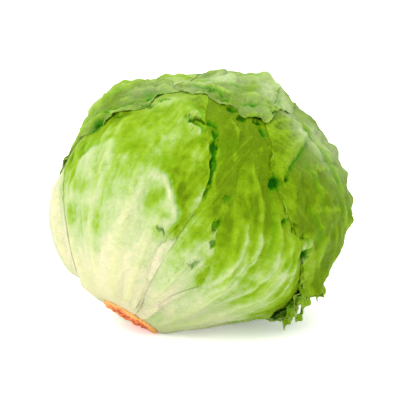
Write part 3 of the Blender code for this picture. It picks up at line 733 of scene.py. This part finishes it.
def rib_lines(leaf, reach, share):
    """How much each place lies on a rib: broad ridges as in the CAD, and the narrow ribs on them."""
    place = share * leaf.columns
    spread = np.linalg.norm(leaf.on_ray(reach, np.minimum(share + 0.01, 1.0))
                            - leaf.on_ray(reach, np.maximum(share - 0.01, 0.0)), axis=-1)
    column = np.maximum(spread / 0.02 / leaf.columns, 0.2)
    sway = 0.35 * ramp(reach, 0.1, 0.6) * drift_along(place * 0.8, reach * 5.0, leaf.seed + 3)
    off = np.abs((place + sway) % 2.0 - 1.0)
    broad = 1.0 - off
    width = 3.4 - 2.0 * ramp(reach, 0.1, 0.8)
    main = np.exp(-((off * column / width) ** 2))
    between = np.abs((place + 1.3 * sway) % 1.0 - 0.5)
    small = np.exp(-((between * column / (0.6 * width)) ** 2)) * ramp(reach, 0.25, 0.45)
    midrib = np.exp(-(((share - 0.5) * leaf.columns) ** 2))
    room = ramp(column, 1.5, 4.5)
    return broad * room, main * room, small * room, midrib


def margin_curl(leaf, reach, edge, free, frill, walked, bare, calm):
    """How the margin curls: shifts out of the head, away from the leaf and along the margin.

    Where it has no frill it is tucked down to the leaf under it instead."""
    strong = ramp(frill, 0.3, 5.0)
    band = 3.0 + 0.9 * frill
    near = np.clip(1.0 - edge / band, 0.0, 1.0) * free * ramp(reach, FRILL_FROM, FRILL_TO)
    wave = np.sin(2 * np.pi * walked / FRILL_WAVE + leaf.seed)
    twist = drift_on(walked / TWIST_CELL, leaf.seed + 11)
    angle = THIN_CURL * ramp(frill, 0.3, 1.6)
    angle = angle + strong * (FRILL_CURL + WAVE_CURL * wave + TWIST_CURL * twist)
    angle = np.radians(angle * (0.6 + 0.4 * ramp(frill, 3.0, 6.0)))
    rise = np.zeros_like(near)
    kept = np.zeros_like(near)
    for step in range(CURL_STEPS):
        turned = angle * (near * (step + 0.5) / CURL_STEPS) ** 1.4
        rise += np.sin(turned) / CURL_STEPS
        kept += np.cos(turned) / CURL_STEPS
    lift = band * near * rise
    out = -0.45 * band * near * (1.0 - kept)
    fast = 2 * np.pi * walked / FAST_WAVE + 2.6 * drift_on(walked / FAST_CELL, leaf.seed + 5)
    quick = 2 * np.pi * walked / QUICK_WAVE + 3.0 * drift_on(walked / QUICK_CELL, leaf.seed + 7)
    height = (0.06 + 0.26 * frill) * near**1.3
    lift += height * (np.sin(fast) + 0.35 * np.sin(quick))
    side = 0.75 * height * (np.cos(fast) + 0.3 * np.cos(quick))
    jag = drift_on(walked / JAG_CELL, leaf.seed + 13)
    slow_jag = drift_on(walked / SLOW_JAG_CELL, leaf.seed + 14)
    out += calm * ((0.2 + 0.16 * frill) * near**3 * jag + (1.5 + 0.2 * frill) * near**2 * slow_jag)
    tuck = (MARGIN_PRESS - FLUSH) * (1.0 - ramp(frill, 0.2, 1.2))
    lift -= tuck * free * (1.0 - ramp(edge, 0.0, TUCK_REACH))
    # Painted shade in the hollows between the ruffles of a frilled margin.
    hollow_shade = strong * near * (0.5 - 0.5 * np.sin(fast))
    return bare * lift, bare * out, bare * side, bare * hollow_shade, near * bare


def seen_axes(centre):
    """Directions over the head at a place: to the right and up as seen from the front."""
    right = unit(np.cross([0.0, 0.0, 1.0], centre))
    return right, np.cross(centre, right)


def pockets_in(names, ways):
    """How far the pockets of the named leaves press in, how far their lips stand out, and the painted shade
    inside them.
    """
    dent, lip, shade = np.zeros((3, len(ways)))
    round_ball = ways * NOMINAL_RADIUS
    for place, (name, from_stem, round_head, length, width, tilt, depth) in enumerate(POCKETS):
        if name not in names:
            continue
        centre = direction(from_stem, round_head)
        right, up = seen_axes(centre)
        away = round_ball - centre * NOMINAL_RADIUS
        size = math.sqrt(length * width)
        x, y = (away @ axis + 0.6 * size * (drift(round_ball / (0.9 * size), place + seed)
                                            + 0.4 * drift(round_ball / (0.4 * size), place + seed + 100))
                for axis, seed in ((right, 201), (up, 401)))
        turned = math.radians(tilt)
        along = (x * math.cos(turned) + y * math.sin(turned)) / length
        across = (y * math.cos(turned) - x * math.sin(turned)) / width
        ring = np.hypot(along, across)
        near = np.linalg.norm(away, axis=1) < 3.0 * length
        dent += near * depth * (1.0 - ramp(ring, 0.35, 1.15))
        broken = 0.5 + 0.5 * drift(round_ball / (0.8 * size), place + 601)
        lip += near * 0.45 * depth * broken * np.exp(-(((ring - 1.35) / 0.25) ** 2))
        # Painted shade inside the pocket.
        shade = np.maximum(shade, near * min(1.0, 0.15 + depth / 3.8) * (1.0 - ramp(ring, 0.55, 1.05)))
    return dent, lip, shade


def creases_in(leaf, flat):
    """How deep the creases of a leaf are, their steps, how pale its ridges are as pale vein and painted
    highlight, and the painted shade in its creases.
    """
    dent, rise, pale, shade = np.zeros((4, len(flat)))
    shifts = [drift_along(flat[:, 0] / 5.0, flat[:, 1] / 5.0, leaf.seed + seed) for seed in (701, 801)]
    bent = flat + 1.5 * np.stack(shifts, axis=1)
    for width, depth, step, line in CREASES.get(leaf.name, ()):
        places = np.array(line, float)
        curve, _ = smooth_curve(leaf.to_map(direction(places[:, 0], places[:, 1])), CREASE_STEPS)
        away = np.full(len(flat), np.inf)
        share, side = np.zeros((2, len(flat)))
        for place in range(CREASE_STEPS):
            start, end = curve[place], curve[place + 1]
            run = end - start
            gone = bent - start
            part = np.clip(gone @ run / run.dot(run), 0.0, 1.0)
            found = np.linalg.norm(gone - part[:, None] * run, axis=1)
            nearer = found < away
            left = run[1] * gone[:, 0] - run[0] * gone[:, 1]
            side = np.where(nearer, np.sign(left), side)
            share = np.where(nearer, (place + part) / CREASE_STEPS, share)
            away = np.minimum(away, found)
        fade = 1.0 - (2.0 * share - 1.0) ** 4
        near = fade * np.exp(-((away / width) ** 2))
        dent += depth * near
        rise += step * fade * side * ramp(away, 0.0, 1.8) * np.exp(-((away / STEP_REACH) ** 2))
        # Ridges are paler, partly as pale veins and partly as painted highlight; creases get painted shade.
        pale = np.maximum(pale, -depth * near)
        shade = np.maximum(shade, 0.45 * depth * near)
    return dent, rise, pale, shade


def crinkled(points, seed):
    """Sharp-edged crumples at two sizes."""
    bent = points + warp(points, amount=2.5, cell=7.0, seed=seed + 1)
    return sum(share * (1.0 - 2.6 * np.abs(drift(bent / cell, seed + more)))
               for share, cell, more in CRUMPLES) - 0.3


def bumps_of(leaf, ways):
    """Knobs of a leaf that stand out of the head."""
    height = np.zeros(len(ways))
    for from_stem, round_head, reach, rise in BUMPS.get(leaf.name, ()):
        height += rise * spot(ways, from_stem, round_head, reach / MM_PER_DEGREE)
    return height


def blade_noise(leaf, round_ball, reach, share):
    """The noises of a blade, by name: some over the ball, some along its veins, and its folds."""
    noise = {key: drift(round_ball / cell, leaf.seed + seed) for key, (cell, seed) in BALL_NOISE.items()}
    for key, (across, along, seed) in VEIN_NOISE.items():
        noise[key] = drift_along(share * leaf.columns * across, reach * along, leaf.seed + seed)
    noise["pucker"] += 0.55 * noise["fine_pucker"]
    noise["net"] = (1.0 - np.abs(noise["net"])) ** 5 + 0.6 * (1.0 - np.abs(noise["fine_net"])) ** 5
    bent = round_ball + warp(round_ball, amount=4.0, cell=14.0, seed=leaf.seed + 28)
    noise["crease"] = (1.0 - np.abs(drift(bent / 15.0, leaf.seed + 34))) ** 6
    noise["crinkle"] = crinkled(round_ball, leaf.seed + 900)
    folds = drift_along(share * leaf.columns * 0.85 + 0.8 * noise["swell"],
                        reach * 2.6 + 0.3 * noise["pucker"], leaf.seed + 35)
    noise["folds"] = 0.7 - 2.2 * np.abs(folds)
    return noise


def place_blade(leaf, flat, ways, radius, out, side, slope, stemwards):
    """The points outside a blade, with its margin shifted and its base drawn in to the stem."""
    beyond = unit(leaf.from_map(flat - 0.5 * unit(slope)) - ways)
    sideways = np.cross(ways, beyond)
    points = MIDDLE + ways * radius[:, None] + beyond * out[:, None] + sideways * side[:, None]
    points -= unit(ways - STEM_WAY * (ways @ STEM_WAY)[:, None]) * (COLLAR_IN * stemwards)[:, None]
    points[:, 2] = np.maximum(points[:, 2], 0.0)
    return points


def shape_leaf(leaf, over):
    """The fine shell of a leaf, and for every point its green, veins, painted shade and bloom with painted
    sheen; the green also carries painted highlight and shade that follow the relief.
    """
    reach, share, faces = fine_grid(leaf)
    flat = leaf.on_ray(reach, share)
    ways = leaf.from_map(flat)
    depth, bare, seam_shade, covered = layers_over(over, ways)
    edge, slope_x, slope_y, free, frill, walked = leaf.look_up(flat).T
    round_ball = ways * NOMINAL_RADIUS
    green = leaf_green(leaf, ways, reach, share)
    noise = blade_noise(leaf, round_ball, reach, share)
    broad, main, small, midrib = rib_lines(leaf, reach, share)
    dent, lip, pocket_shade = pockets_in([leaf.name] + [other.name for other in over], ways)
    cut, step, pale, cut_shade = creases_in(leaf, flat)

    leafy = ramp(green, 0.2, 0.7)
    calm = ramp(leafy, 0.1, 0.6)
    puckered = leafy * LOOKS[leaf.name][5]
    whole = ramp(frill, 3.5, 6.0)
    broken = 0.2 + 0.9 * ramp(drift_on(walked / BREAK_CELL, leaf.seed + 16), -0.35, 0.35)
    frill = frill * (0.15 + 0.85 * calm) * (0.5 + 0.5 * whole) * (broken + (1.0 - broken) * whole)
    lift, out, side, hollow_shade, near = margin_curl(leaf, reach, edge, free, frill, walked, bare, calm)

    fade = ramp(reach, 0.0, 0.12) * (1.0 - ramp(reach, 0.45, 0.95))
    relief = fade * (0.5 * RIB_HEIGHT * broad + MIDRIB_HEIGHT * midrib)
    relief += ramp(reach, 0.0, 0.1) * (1.1 - 0.85 * ramp(reach, 0.2, 0.9)) * (main + 0.45 * small)
    relief += BLISTER * (1.0 + noise["blister"]) * ramp(edge, 0.0, 12.0)
    relief += puckered * sum(height * noise[key] for key, height in PUCKERS.items())
    relief += 0.3 * noise["streak"] + 0.11 * noise["thread"] + 0.06 * leafy * noise["fibre"]
    relief += 0.7 * noise["folds"] * ramp(reach, 0.15, 0.4) + bumps_of(leaf, ways)
    settled = 1.0 - free * (1.0 - ramp(edge, 0.0, SETTLE_REACH)) * (1.0 - 0.6 * ramp(frill, 0.3, 2.5))
    relief = bare * settled * (relief + lip - cut + step) + lift
    relief += 0.13 * bare * near * frill * noise["crumple"]
    relief = np.maximum(relief, FLUSH - leaf.press(flat, edge)) - dent

    from_base = (degrees_off(ways, STEM_WAY) - leaf.base_angle) * MM_PER_DEGREE
    stemwards = np.exp(-((from_base / COLLAR_REACH) ** 2))
    radius = ball_radius(ways) - depth + relief
    level = (STEM_CUT - COLLAR_UNDER - depth * covered) / np.maximum(ways @ STEM_WAY, 0.5)
    radius += (level - radius) * stemwards
    slope = np.stack([slope_x, slope_y], axis=1)
    points = place_blade(leaf, flat, ways, radius, out, side, slope, stemwards)
    faces = facing_out(points, faces)
    thin = THIN_EDGE + (leaf.thickness(flat) - THIN_EDGE) * ramp(edge, 0.0, THIN_REACH)
    inner = points - normals_of(points, faces) * thin[:, None]
    inner[:, 2] = np.maximum(inner[:, 2], THIN_EDGE)

    vein = bare * (0.75 * main * (1.0 - 0.5 * ramp(reach, 0.5, 1.0)) + 0.4 * small)
    vein += 0.25 * leafy * noise["net"]
    # Paler rim of a curled margin: painted highlight where the edge catches the light.
    rim = np.exp(-np.maximum(edge, 0.0) / 1.3) * free * ramp(frill, 0.4, 2.0) * calm
    green += sum(amount * noise[key] for key, amount in STREAKS.items()) * (0.45 + 0.45 * leafy)
    # Paler on the rim, on raised puckers and swells, and on the lips of pockets: painted highlight.
    green -= 0.18 * rim + 0.05 * leafy * (noise["pucker"] + noise["swell"]) + 0.12 * lip
    # Greener in the creases and paler on the crinkle ridges: painted shade and painted highlight.
    green += 0.12 * bare * leafy * (noise["crease"] - noise["crinkle"])
    # Paler on raised folds and on the high side of crease steps, as painted highlight; paler on crease
    # ridges, partly as pale veins and partly as painted highlight.
    green -= bare * (0.06 * noise["folds"] + 0.30 * step) + 0.30 * pale * (0.3 + 0.7 * leafy)
    dark = ramp(green, 0.15, 0.6)
    # Painted shade in the valleys between crinkles.
    valley_shade = 0.21 * puckered * ramp(-noise["crinkle"], 0.3, 1.3)
    # Painted shade: in the frill hollows, in the pockets, in a line beside the edges of the leaves over this
    # one, in the creases and in the crinkle valleys.
    shade = 0.6 * hollow_shade * dark + pocket_shade * (0.6 + 0.4 * dark) + 0.8 * seam_shade * (0.15 + 0.85 * dark)
    shade += bare * (cut_shade * (0.2 + 0.8 * dark) + valley_shade)
    looks = on_both_sides({"green": green, "vein": vein, "shade": np.clip(shade, 0.0, 1.0),
                           "bloom": leaf_bloom_and_sheen(leaf, ways)})
    looks["green"][len(points):] -= 0.1
    return np.vstack([points, inner]), close_shell(faces, len(points)), looks


def shape_strand(place, half_width, line):
    """A ruffled ribbon along a line, thinning to its end."""
    curve, length = smooth_curve(np.array(line), STRAND_STEPS)
    out = unit(curve - MIDDLE)
    sideways = unit(np.cross(unit(np.gradient(curve, axis=0)), out))
    walked = np.linspace(0.0, length, STRAND_STEPS + 1)[:, None]
    across = np.linspace(-1.0, 1.0, STRAND_COLUMNS + 1)[None, :]
    taper = half_width * (1.0 - STRAND_THINS * (walked / length) ** 2)
    turn = 2 * np.pi * walked / RUFFLE_WAVE + 1.9 * np.sign(across)
    turn = turn + 2.0 * drift_on(walked / RUFFLE_CELL, place + 91)
    ruffle = 0.6 * half_width * np.abs(across) ** 1.6 * np.sin(turn)
    down = walked / STRAND_JAG_CELL + 0 * across
    jag = 1.0 + 0.25 * drift_along(down, across * 1.5 + 0 * walked, place + 92)
    points = (curve[:, None, :] + sideways[:, None, :] * (taper * across * jag)[..., None]
              + out[:, None, :] * ruffle[..., None])
    points = points.reshape(-1, 3)
    index = np.arange(len(points)).reshape(STRAND_STEPS + 1, STRAND_COLUMNS + 1)
    corners = (index[:-1, :-1], index[:-1, 1:], index[1:, :-1], index[1:, 1:])
    a, b, c, d = [corner.ravel() for corner in corners]
    faces = facing_out(points, np.concatenate([np.stack([a, b, d], axis=1), np.stack([a, d, c], axis=1)]))
    points[:, 2] = np.maximum(points[:, 2], THIN_EDGE)
    inner = points - normals_of(points, faces) * THIN_EDGE
    inner[:, 2] = np.maximum(inner[:, 2], 0.0)
    count = len(points)
    paler = 0.25 * ramp(np.abs(across) + 0 * walked, 0.3, 1.0).ravel()
    looks = on_both_sides({"green": 0.80 - paler, "vein": 0.2 * (1 - np.abs(across) + 0 * walked).ravel(),
                           "shade": np.zeros(count), "bloom": np.zeros(count)})
    return np.vstack([points, inner]), close_shell(faces, count), looks


def with_strands(points, faces, looks):
    """The right leaf together with the strands that hang from its tail."""
    for place, (half_width, line) in enumerate(STRANDS):
        more, more_faces, more_looks = shape_strand(place, half_width, line)
        faces = np.concatenate([faces, more_faces + len(points)])
        points = np.vstack([points, more])
        looks = {key: np.concatenate([looks[key], more_looks[key]]) for key in looks}
    return points, faces, looks


def leaf_green(leaf, ways, reach, share):
    """How green each place of a leaf is: pale at the base, greener outwards, with its spots."""
    low, high, start, end, *_, spots = LOOKS[leaf.name]
    wander = 7.0 * drift_along(share * leaf.columns * 0.9, reach * 2.0, leaf.seed + 31)
    green = low + (high - low) * ramp(degrees_off(ways, STEM_WAY) + wander, start, end)
    round_ball = ways * NOMINAL_RADIUS
    bent = round_ball + warp(round_ball, amount=5.0, cell=9.0, seed=leaf.seed + 51)
    bent = unit(bent + warp(round_ball, amount=2.5, cell=3.5, seed=leaf.seed + 54))
    for from_stem, round_head, size, amount in spots:
        green = green + amount * spot(bent, from_stem, round_head, size)
    mottle = sum(amount * drift(round_ball / cell, leaf.seed + seed) for amount, cell, seed in MOTTLE)
    return green + mottle * (0.5 + 0.3 * min(LOOKS[leaf.name][5], 1.6))


def leaf_bloom_and_sheen(leaf, ways):
    """How grey the waxy bloom and the painted sheen make each place."""
    bloom = np.full(len(ways), LOOKS[leaf.name][4])
    for from_stem, round_head, size, amount in BLOOM_AND_SHEEN:
        bloom = bloom + amount * spot(ways, from_stem, round_head, size)
    uneven = 0.7 + 0.6 * drift(ways * NOMINAL_RADIUS / 9.0, leaf.seed + 41)
    return np.clip(bloom * uneven, 0.0, 1.0)


def shape_heart(leaves):
    """The ball of inner leaves, pressed in under the outer ones and flat under the stem."""
    bpy.ops.mesh.primitive_ico_sphere_add(subdivisions=5, radius=1.0)
    ball = bpy.context.object
    ways = np.array([v.co.normalized() for v in ball.data.vertices])
    faces = np.array([p.vertices[:] for p in ball.data.polygons])
    bpy.data.objects.remove(ball, do_unlink=True)
    depth, bare, seam_shade, _ = layers_over(leaves, ways)
    round_ball = ways * NOMINAL_RADIUS
    pucker = drift(round_ball / 9.0, 61) + 0.5 * drift(round_ball / 4.5, 62)
    dent, _, _ = pockets_in([leaf.name for leaf in leaves], ways)
    radius = ball_radius(ways) - depth - GAP + bare * 0.7 * pucker - dent
    from_stem = degrees_off(ways, STEM_WAY)
    seat = (STEM_ROOT - GAP) / np.maximum(ways @ STEM_WAY, 1e-6)
    seat += SEAT_RISE * np.maximum(from_stem - SEAT_ANGLE, 0.0)
    points = MIDDLE + ways * np.minimum(radius, seat)[:, None]
    points[:, 2] = np.maximum(points[:, 2], 1.0)
    green = 0.1 + 0.65 * ramp(from_stem, 30, 100) + 0.08 * pucker
    net = (1.0 - np.abs(drift(round_ball / 7.0, 63))) ** 5
    # Painted shade beside the edges of the outer leaves.
    looks = {"green": green, "vein": 0.5 * net, "shade": 0.7 * seam_shade, "bloom": np.zeros_like(green)}
    return points, faces, looks


def shape_stem():
    """The butt of the stem: a stout peg with a rough rim and an uneven cut that has gone orange."""
    profile = [(STEM_ROOT, share) for share in np.linspace(0.0, 0.8, 6)[1:]]
    profile += [(along, 0.8 + 0.19 * ramp(along, STEM_ROOT, STEM_CUT - 4.0))
                for along in np.linspace(STEM_ROOT, STEM_CUT - 1.2, 26)[1:]]
    profile += [(STEM_CUT - under, share) for under, share in STEM_RIM]
    profile += [(STEM_CUT + 0.1, share) for share in np.linspace(0.93, 0.0, 27)[:-1]]
    turns = np.linspace(0.0, 360.0, STEM_SIDES, endpoint=False)
    shape = np.ones(STEM_SIDES)
    for count, depth, turned in STEM_LOBES:
        shape -= depth * (1.0 + np.sin(np.radians(count * turns + turned)))
    around = direction(np.full(STEM_SIDES, 90.0), turns) * (STEM_RADIUS * shape)[:, None]
    rings = [MIDDLE + STEM_WAY * along + around * size for along, size in profile]
    points = np.vstack([MIDDLE + STEM_WAY * STEM_ROOT, *rings, MIDDLE + STEM_WAY * (STEM_CUT + 0.1)])
    ring_heights, ring_sizes = np.repeat(np.array(profile), STEM_SIDES, axis=0).T
    height = np.concatenate([[STEM_ROOT], ring_heights, [STEM_CUT]])
    radial = np.concatenate([[0.0], ring_sizes, [0.0]])
    rough = sum(share * drift(points / cell, seed) for share, cell, seed in STEM_ROUGH)
    top = ramp(height, STEM_CUT - 2.2, STEM_CUT - 0.4)
    points = points + STEM_WAY * (top * (0.6 - 0.85 * rough))[:, None]
    away = unit(points - MIDDLE - STEM_WAY * ((points - MIDDLE) @ STEM_WAY)[:, None])
    points = points - away * (0.42 * ramp(radial, 0.8, 0.99) * (0.7 + rough))[:, None]
    points[:, 2] = np.maximum(points[:, 2], 0.0)
    index = np.arange(STEM_SIDES)
    after = (index + 1) % STEM_SIDES
    top_ring = 1 + STEM_SIDES * (len(profile) - 1)
    faces = [np.stack([0 * index, 1 + after, 1 + index], axis=1),
             np.stack([0 * index + len(points) - 1, top_ring + index, top_ring + after], axis=1)]
    for low in range(1, top_ring, STEM_SIDES):
        high = low + STEM_SIDES
        faces.append(np.stack([low + index, low + after, high + after], axis=1))
        faces.append(np.stack([low + index, high + after, high + index], axis=1))
    faces = facing_out(points, np.concatenate(faces))
    cut = ramp(height, STEM_CUT - ORANGE_DEPTH, STEM_CUT - 0.6)
    core = 1.0 - ramp(radial, 0.66, 0.98)
    return points, faces, {"cut": cut, "core": core, "rough": rough}


def linear(red, green, blue):
    """An eight-bit display colour as the linear one that a shader takes."""
    values = np.array([red, green, blue]) / 255.0
    return (*np.where(values <= 0.04045, values / 12.92, ((values + 0.055) / 1.055) ** 2.4), 1.0)


class Shader:
    """A material's node tree, with short ways to add and join nodes."""

    def __init__(self, name):
        self.material = bpy.data.materials.new(name)
        self.material.use_nodes = True
        self.tree = self.material.node_tree
        self.main = self.tree.nodes["Principled BSDF"]

    def add(self, kind, **settings):
        node = self.tree.nodes.new(kind)
        for key, value in settings.items():
            setattr(node, key, value)
        return node

    def join(self, source, target):
        self.tree.links.new(source, target)

    def value(self, name):
        return self.add("ShaderNodeAttribute", attribute_name=name).outputs["Fac"]

    def math(self, operation, first, second):
        node = self.add("ShaderNodeMath", operation=operation)
        for place, entry in enumerate((first, second)):
            if isinstance(entry, (int, float)):
                node.inputs[place].default_value = entry
            else:
                self.join(entry, node.inputs[place])
        return node.outputs[0]

    def plus(self, first, second):
        return self.math("ADD", first, second)

    def times(self, first, second):
        return self.math("MULTIPLY", first, second)

    def noise(self, scale, detail=3.0):
        node = self.add("ShaderNodeTexNoise")
        node.inputs["Scale"].default_value = scale
        node.inputs["Detail"].default_value = detail
        node.inputs["Roughness"].default_value = 0.55
        self.join(self.place(), node.inputs["Vector"])
        return node.outputs["Fac"]

    def place(self):
        return self.add("ShaderNodeTexCoord").outputs["Object"]

    def ramp(self, source, stops):
        node = self.add("ShaderNodeValToRGB")
        elements = node.color_ramp.elements
        while len(elements) < len(stops):
            elements.new(0.5)
        for element, (place, colour) in zip(elements, stops):
            element.position = place
            element.color = colour
        self.join(source, node.inputs["Fac"])
        return node.outputs["Color"]

    def mix(self, share, first, second):
        node = self.add("ShaderNodeMix", data_type="RGBA")
        for socket, entry in ((node.inputs[0], share), (node.inputs[6], first), (node.inputs[7], second)):
            if isinstance(entry, (int, float, tuple)):
                socket.default_value = entry
            else:
                self.join(entry, socket)
        return node.outputs[2]

    def bump(self, height, distance):
        node = self.add("ShaderNodeBump")
        node.inputs["Distance"].default_value = distance
        self.join(height, node.inputs["Height"])
        self.join(node.outputs["Normal"], self.main.inputs["Normal"])


# Textures of the materials, in cells to a metre, and heights of their bumps in metres
LEAF_GRAIN = 420.0
LEAF_PATCHES = 95.0
LEAF_NETWORK = 230.0
LEAF_BUMP = 0.0011
STEM_GRAIN = 700.0
STEM_FLECKS = 330.0
STEM_BUMP = 0.0006

# Colours of the leaves, by green, by green along the veins, and of the painted shade by how deep it is
GREENS = (
    (0.00, linear(205, 200, 163)),
    (0.20, linear(182, 191, 144)),
    (0.40, linear(162, 183, 118)),
    (0.60, linear(134, 166, 52)),
    (0.75, linear(120, 153, 16)),
    (0.90, linear(104, 136, 3)),
    (1.00, linear(88, 116, 1)),
)
VEINS = ((0.30, linear(196, 204, 128)), (0.70, linear(150, 186, 34)))
BLOOM_AND_SHEEN_COLOUR = linear(178, 190, 150)
GLOW_COLOUR = linear(130, 200, 10)
PAINTED_SHADE_GREENS = (
    (0.00, linear(96, 158, 2)),
    (0.55, linear(56, 130, 0)),
    (1.00, linear(10, 84, 2)),
)


def leaf_material(name):
    """Leaf: green with pale veins, painted shade in deep greens, a grey bloom with painted sheen, and light
    through the blade.
    """
    shader = Shader(name)
    main = shader.main
    fine = shader.noise(LEAF_GRAIN)
    patches = shader.noise(LEAF_PATCHES, 2.0)
    spread = shader.plus(shader.times(shader.math("SUBTRACT", fine, 0.5), 0.30),
                         shader.times(shader.math("SUBTRACT", patches, 0.5), 0.20))
    green = shader.plus(shader.value("green"), spread)
    colour = shader.ramp(green, GREENS)
    network = shader.add("ShaderNodeTexVoronoi", feature="DISTANCE_TO_EDGE")
    network.inputs["Scale"].default_value = LEAF_NETWORK
    shader.join(shader.place(), network.inputs["Vector"])
    threads = shader.math("SUBTRACT", 1.0, shader.times(network.outputs["Distance"], 7.0))
    threads = shader.math("MAXIMUM", threads, 0.0)
    leafy = shader.times(shader.value("green"), 0.05)
    veins = shader.plus(shader.times(shader.value("vein"), 0.40), shader.times(threads, leafy))
    colour = shader.mix(veins, colour, shader.ramp(green, VEINS))
    # Waxy bloom with painted sheen mixes a pale grey green into the colour.
    bloom = shader.times(shader.value("bloom"), shader.plus(0.25, shader.times(fine, 0.7)))
    colour = shader.mix(bloom, colour, BLOOM_AND_SHEEN_COLOUR)
    # Painted shade: the colour turns to deep greens where the shade attribute is high.
    shade = shader.value("shade")
    colour = shader.mix(shader.math("MINIMUM", shader.times(shade, 1.3), 1.0), colour,
                        shader.ramp(shade, PAINTED_SHADE_GREENS))
    shader.join(colour, main.inputs["Base Color"])
    main.inputs["Roughness"].default_value = 0.5
    main.inputs["Specular IOR Level"].default_value = 0.03
    main.inputs["Subsurface Weight"].default_value = 0.18
    main.inputs["Subsurface Radius"].default_value = (1.0, 1.4, 0.35)
    main.inputs["Subsurface Scale"].default_value = 0.002
    shader.bump(shader.plus(fine, shader.times(threads, -0.2)), LEAF_BUMP)
    through = shader.add("ShaderNodeBsdfTranslucent")
    shader.join(shader.mix(0.5, colour, GLOW_COLOUR), through.inputs["Color"])
    both = shader.add("ShaderNodeMixShader")
    both.inputs[0].default_value = 0.22
    shader.join(main.outputs[0], both.inputs[1])
    shader.join(through.outputs[0], both.inputs[2])
    shader.join(both.outputs[0], shader.tree.nodes["Material Output"].inputs["Surface"])
    return shader.material


def stem_material(name):
    """The cut stem: pale sides, a tan rim, and a face gone orange with darker flecks."""
    shader = Shader(name)
    main = shader.main
    fine = shader.noise(STEM_GRAIN, 4.0)
    flecks = shader.ramp(shader.noise(STEM_FLECKS), ((0.46, (0, 0, 0, 1)), (0.62, (1, 1, 1, 1))))
    tan = shader.mix(fine, linear(226, 182, 104), linear(186, 118, 48))
    orange = shader.mix(flecks, linear(222, 118, 50), linear(140, 52, 16))
    face = shader.mix(shader.value("core"), tan, orange)
    colour = shader.mix(shader.value("cut"), linear(240, 232, 196), face)
    shader.join(colour, main.inputs["Base Color"])
    main.inputs["Roughness"].default_value = 0.7
    main.inputs["Subsurface Weight"].default_value = 0.1
    main.inputs["Subsurface Scale"].default_value = 0.001
    shader.bump(fine, STEM_BUMP)
    return shader.material


def add_piece(name, points, faces, looks, material, node, slot):
    """Makes a mesh that stands for a CAD node."""
    mesh = bpy.data.meshes.new(name)
    mesh.vertices.add(len(points))
    mesh.vertices.foreach_set("co", (points * METRES).astype(np.float32).ravel())
    mesh.loops.add(3 * len(faces))
    mesh.loops.foreach_set("vertex_index", faces.astype(np.int32).ravel())
    mesh.polygons.add(len(faces))
    mesh.polygons.foreach_set("loop_start", np.arange(0, 3 * len(faces), 3, dtype=np.int32))
    mesh.update(calc_edges=True)
    for key, value in looks.items():
        mesh.attributes.new(key, "FLOAT", "POINT").data.foreach_set("value", value.astype(np.float32))
    mesh.shade_smooth()
    mesh.set_sharp_from_angle(angle=SHARP_FROM)
    mesh.materials.append(material)
    piece = bpy.data.objects.new(name, mesh)
    bpy.context.scene.collection.objects.link(piece)
    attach(piece, "root")
    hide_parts(node)


def add_floor():
    """A seamless pale floor."""
    mesh = bpy.data.meshes.new("floor")
    corners = [(x * FLOOR_HALF, y * FLOOR_HALF, 0.0) for x, y in ((-1, -1), (1, -1), (1, 1), (-1, 1))]
    mesh.from_pydata(corners, [], [(0, 1, 2, 3)])
    shader = Shader("pale_floor")
    shader.main.inputs["Base Color"].default_value = (0.93, 0.93, 0.93, 1.0)
    shader.main.inputs["Roughness"].default_value = 0.8
    shader.main.inputs["Emission Color"].default_value = (1.0, 1.0, 1.0, 1.0)
    shader.main.inputs["Emission Strength"].default_value = 0.3
    mesh.materials.append(shader.material)
    floor = bpy.data.objects.new("floor", mesh)
    bpy.context.scene.collection.objects.link(floor)


def add_light(name, place, energy, size):
    """A soft square lamp that points at the head."""
    lamp = bpy.data.lights.new(name, "AREA")
    lamp.energy = energy
    lamp.size = size
    holder = bpy.data.objects.new(name, lamp)
    holder.location = place
    holder.rotation_euler = (Vector(MIDDLE * METRES) - Vector(place)).to_track_quat("-Z", "Y").to_euler()
    bpy.context.scene.collection.objects.link(holder)


def add_studio():
    """White surroundings, a soft key lamp from the upper left and a weaker one above."""
    world = bpy.data.worlds.new("studio")
    bpy.context.scene.world = world
    world.use_nodes = True
    background = world.node_tree.nodes["Background"]
    background.inputs[0].default_value = (1.0, 1.0, 1.0, 1.0)
    background.inputs[1].default_value = SURROUNDINGS
    for lamp in LAMPS:
        add_light(*lamp)


def add_camera():
    """The photo's view: from the front, a little above level."""
    camera = bpy.data.cameras.new("camera")
    camera.lens = CAMERA_LENS
    camera.sensor_width = 36.0
    camera.shift_y = CAMERA_SHIFT
    holder = bpy.data.objects.new("camera", camera)
    level = math.radians(CAMERA_ABOVE)
    back = Vector((0.0, -math.cos(level), math.sin(level)))
    holder.location = Vector(MIDDLE * METRES) + back
    holder.rotation_euler = (-back).to_track_quat("-Z", "Y").to_euler()
    bpy.context.scene.collection.objects.link(holder)
    bpy.context.scene.camera = holder


leaves = [Leaf(*values) for values in LEAVES]
green_leaf = leaf_material("lettuce_leaf")
add_piece("heart_leaves", *shape_heart(leaves), green_leaf, "heart", "heart")
add_piece("cut_stem", *shape_stem(), stem_material("cut_stem"), "stem", "stem")
for place, leaf in enumerate(leaves):
    pale = leaf.name in ("leaf_left", "leaf_bottom")
    shape = shape_leaf(leaf, leaves[place + 1:])
    if leaf.name == "leaf_right":
        shape = with_strands(*shape)
    add_piece(leaf.name + "_blade", *shape, green_leaf, leaf.name, "pale_leaf" if pale else "outer_leaf")
add_floor()
add_studio()
add_camera()
bpy.context.scene.view_settings.view_transform = "Standard"
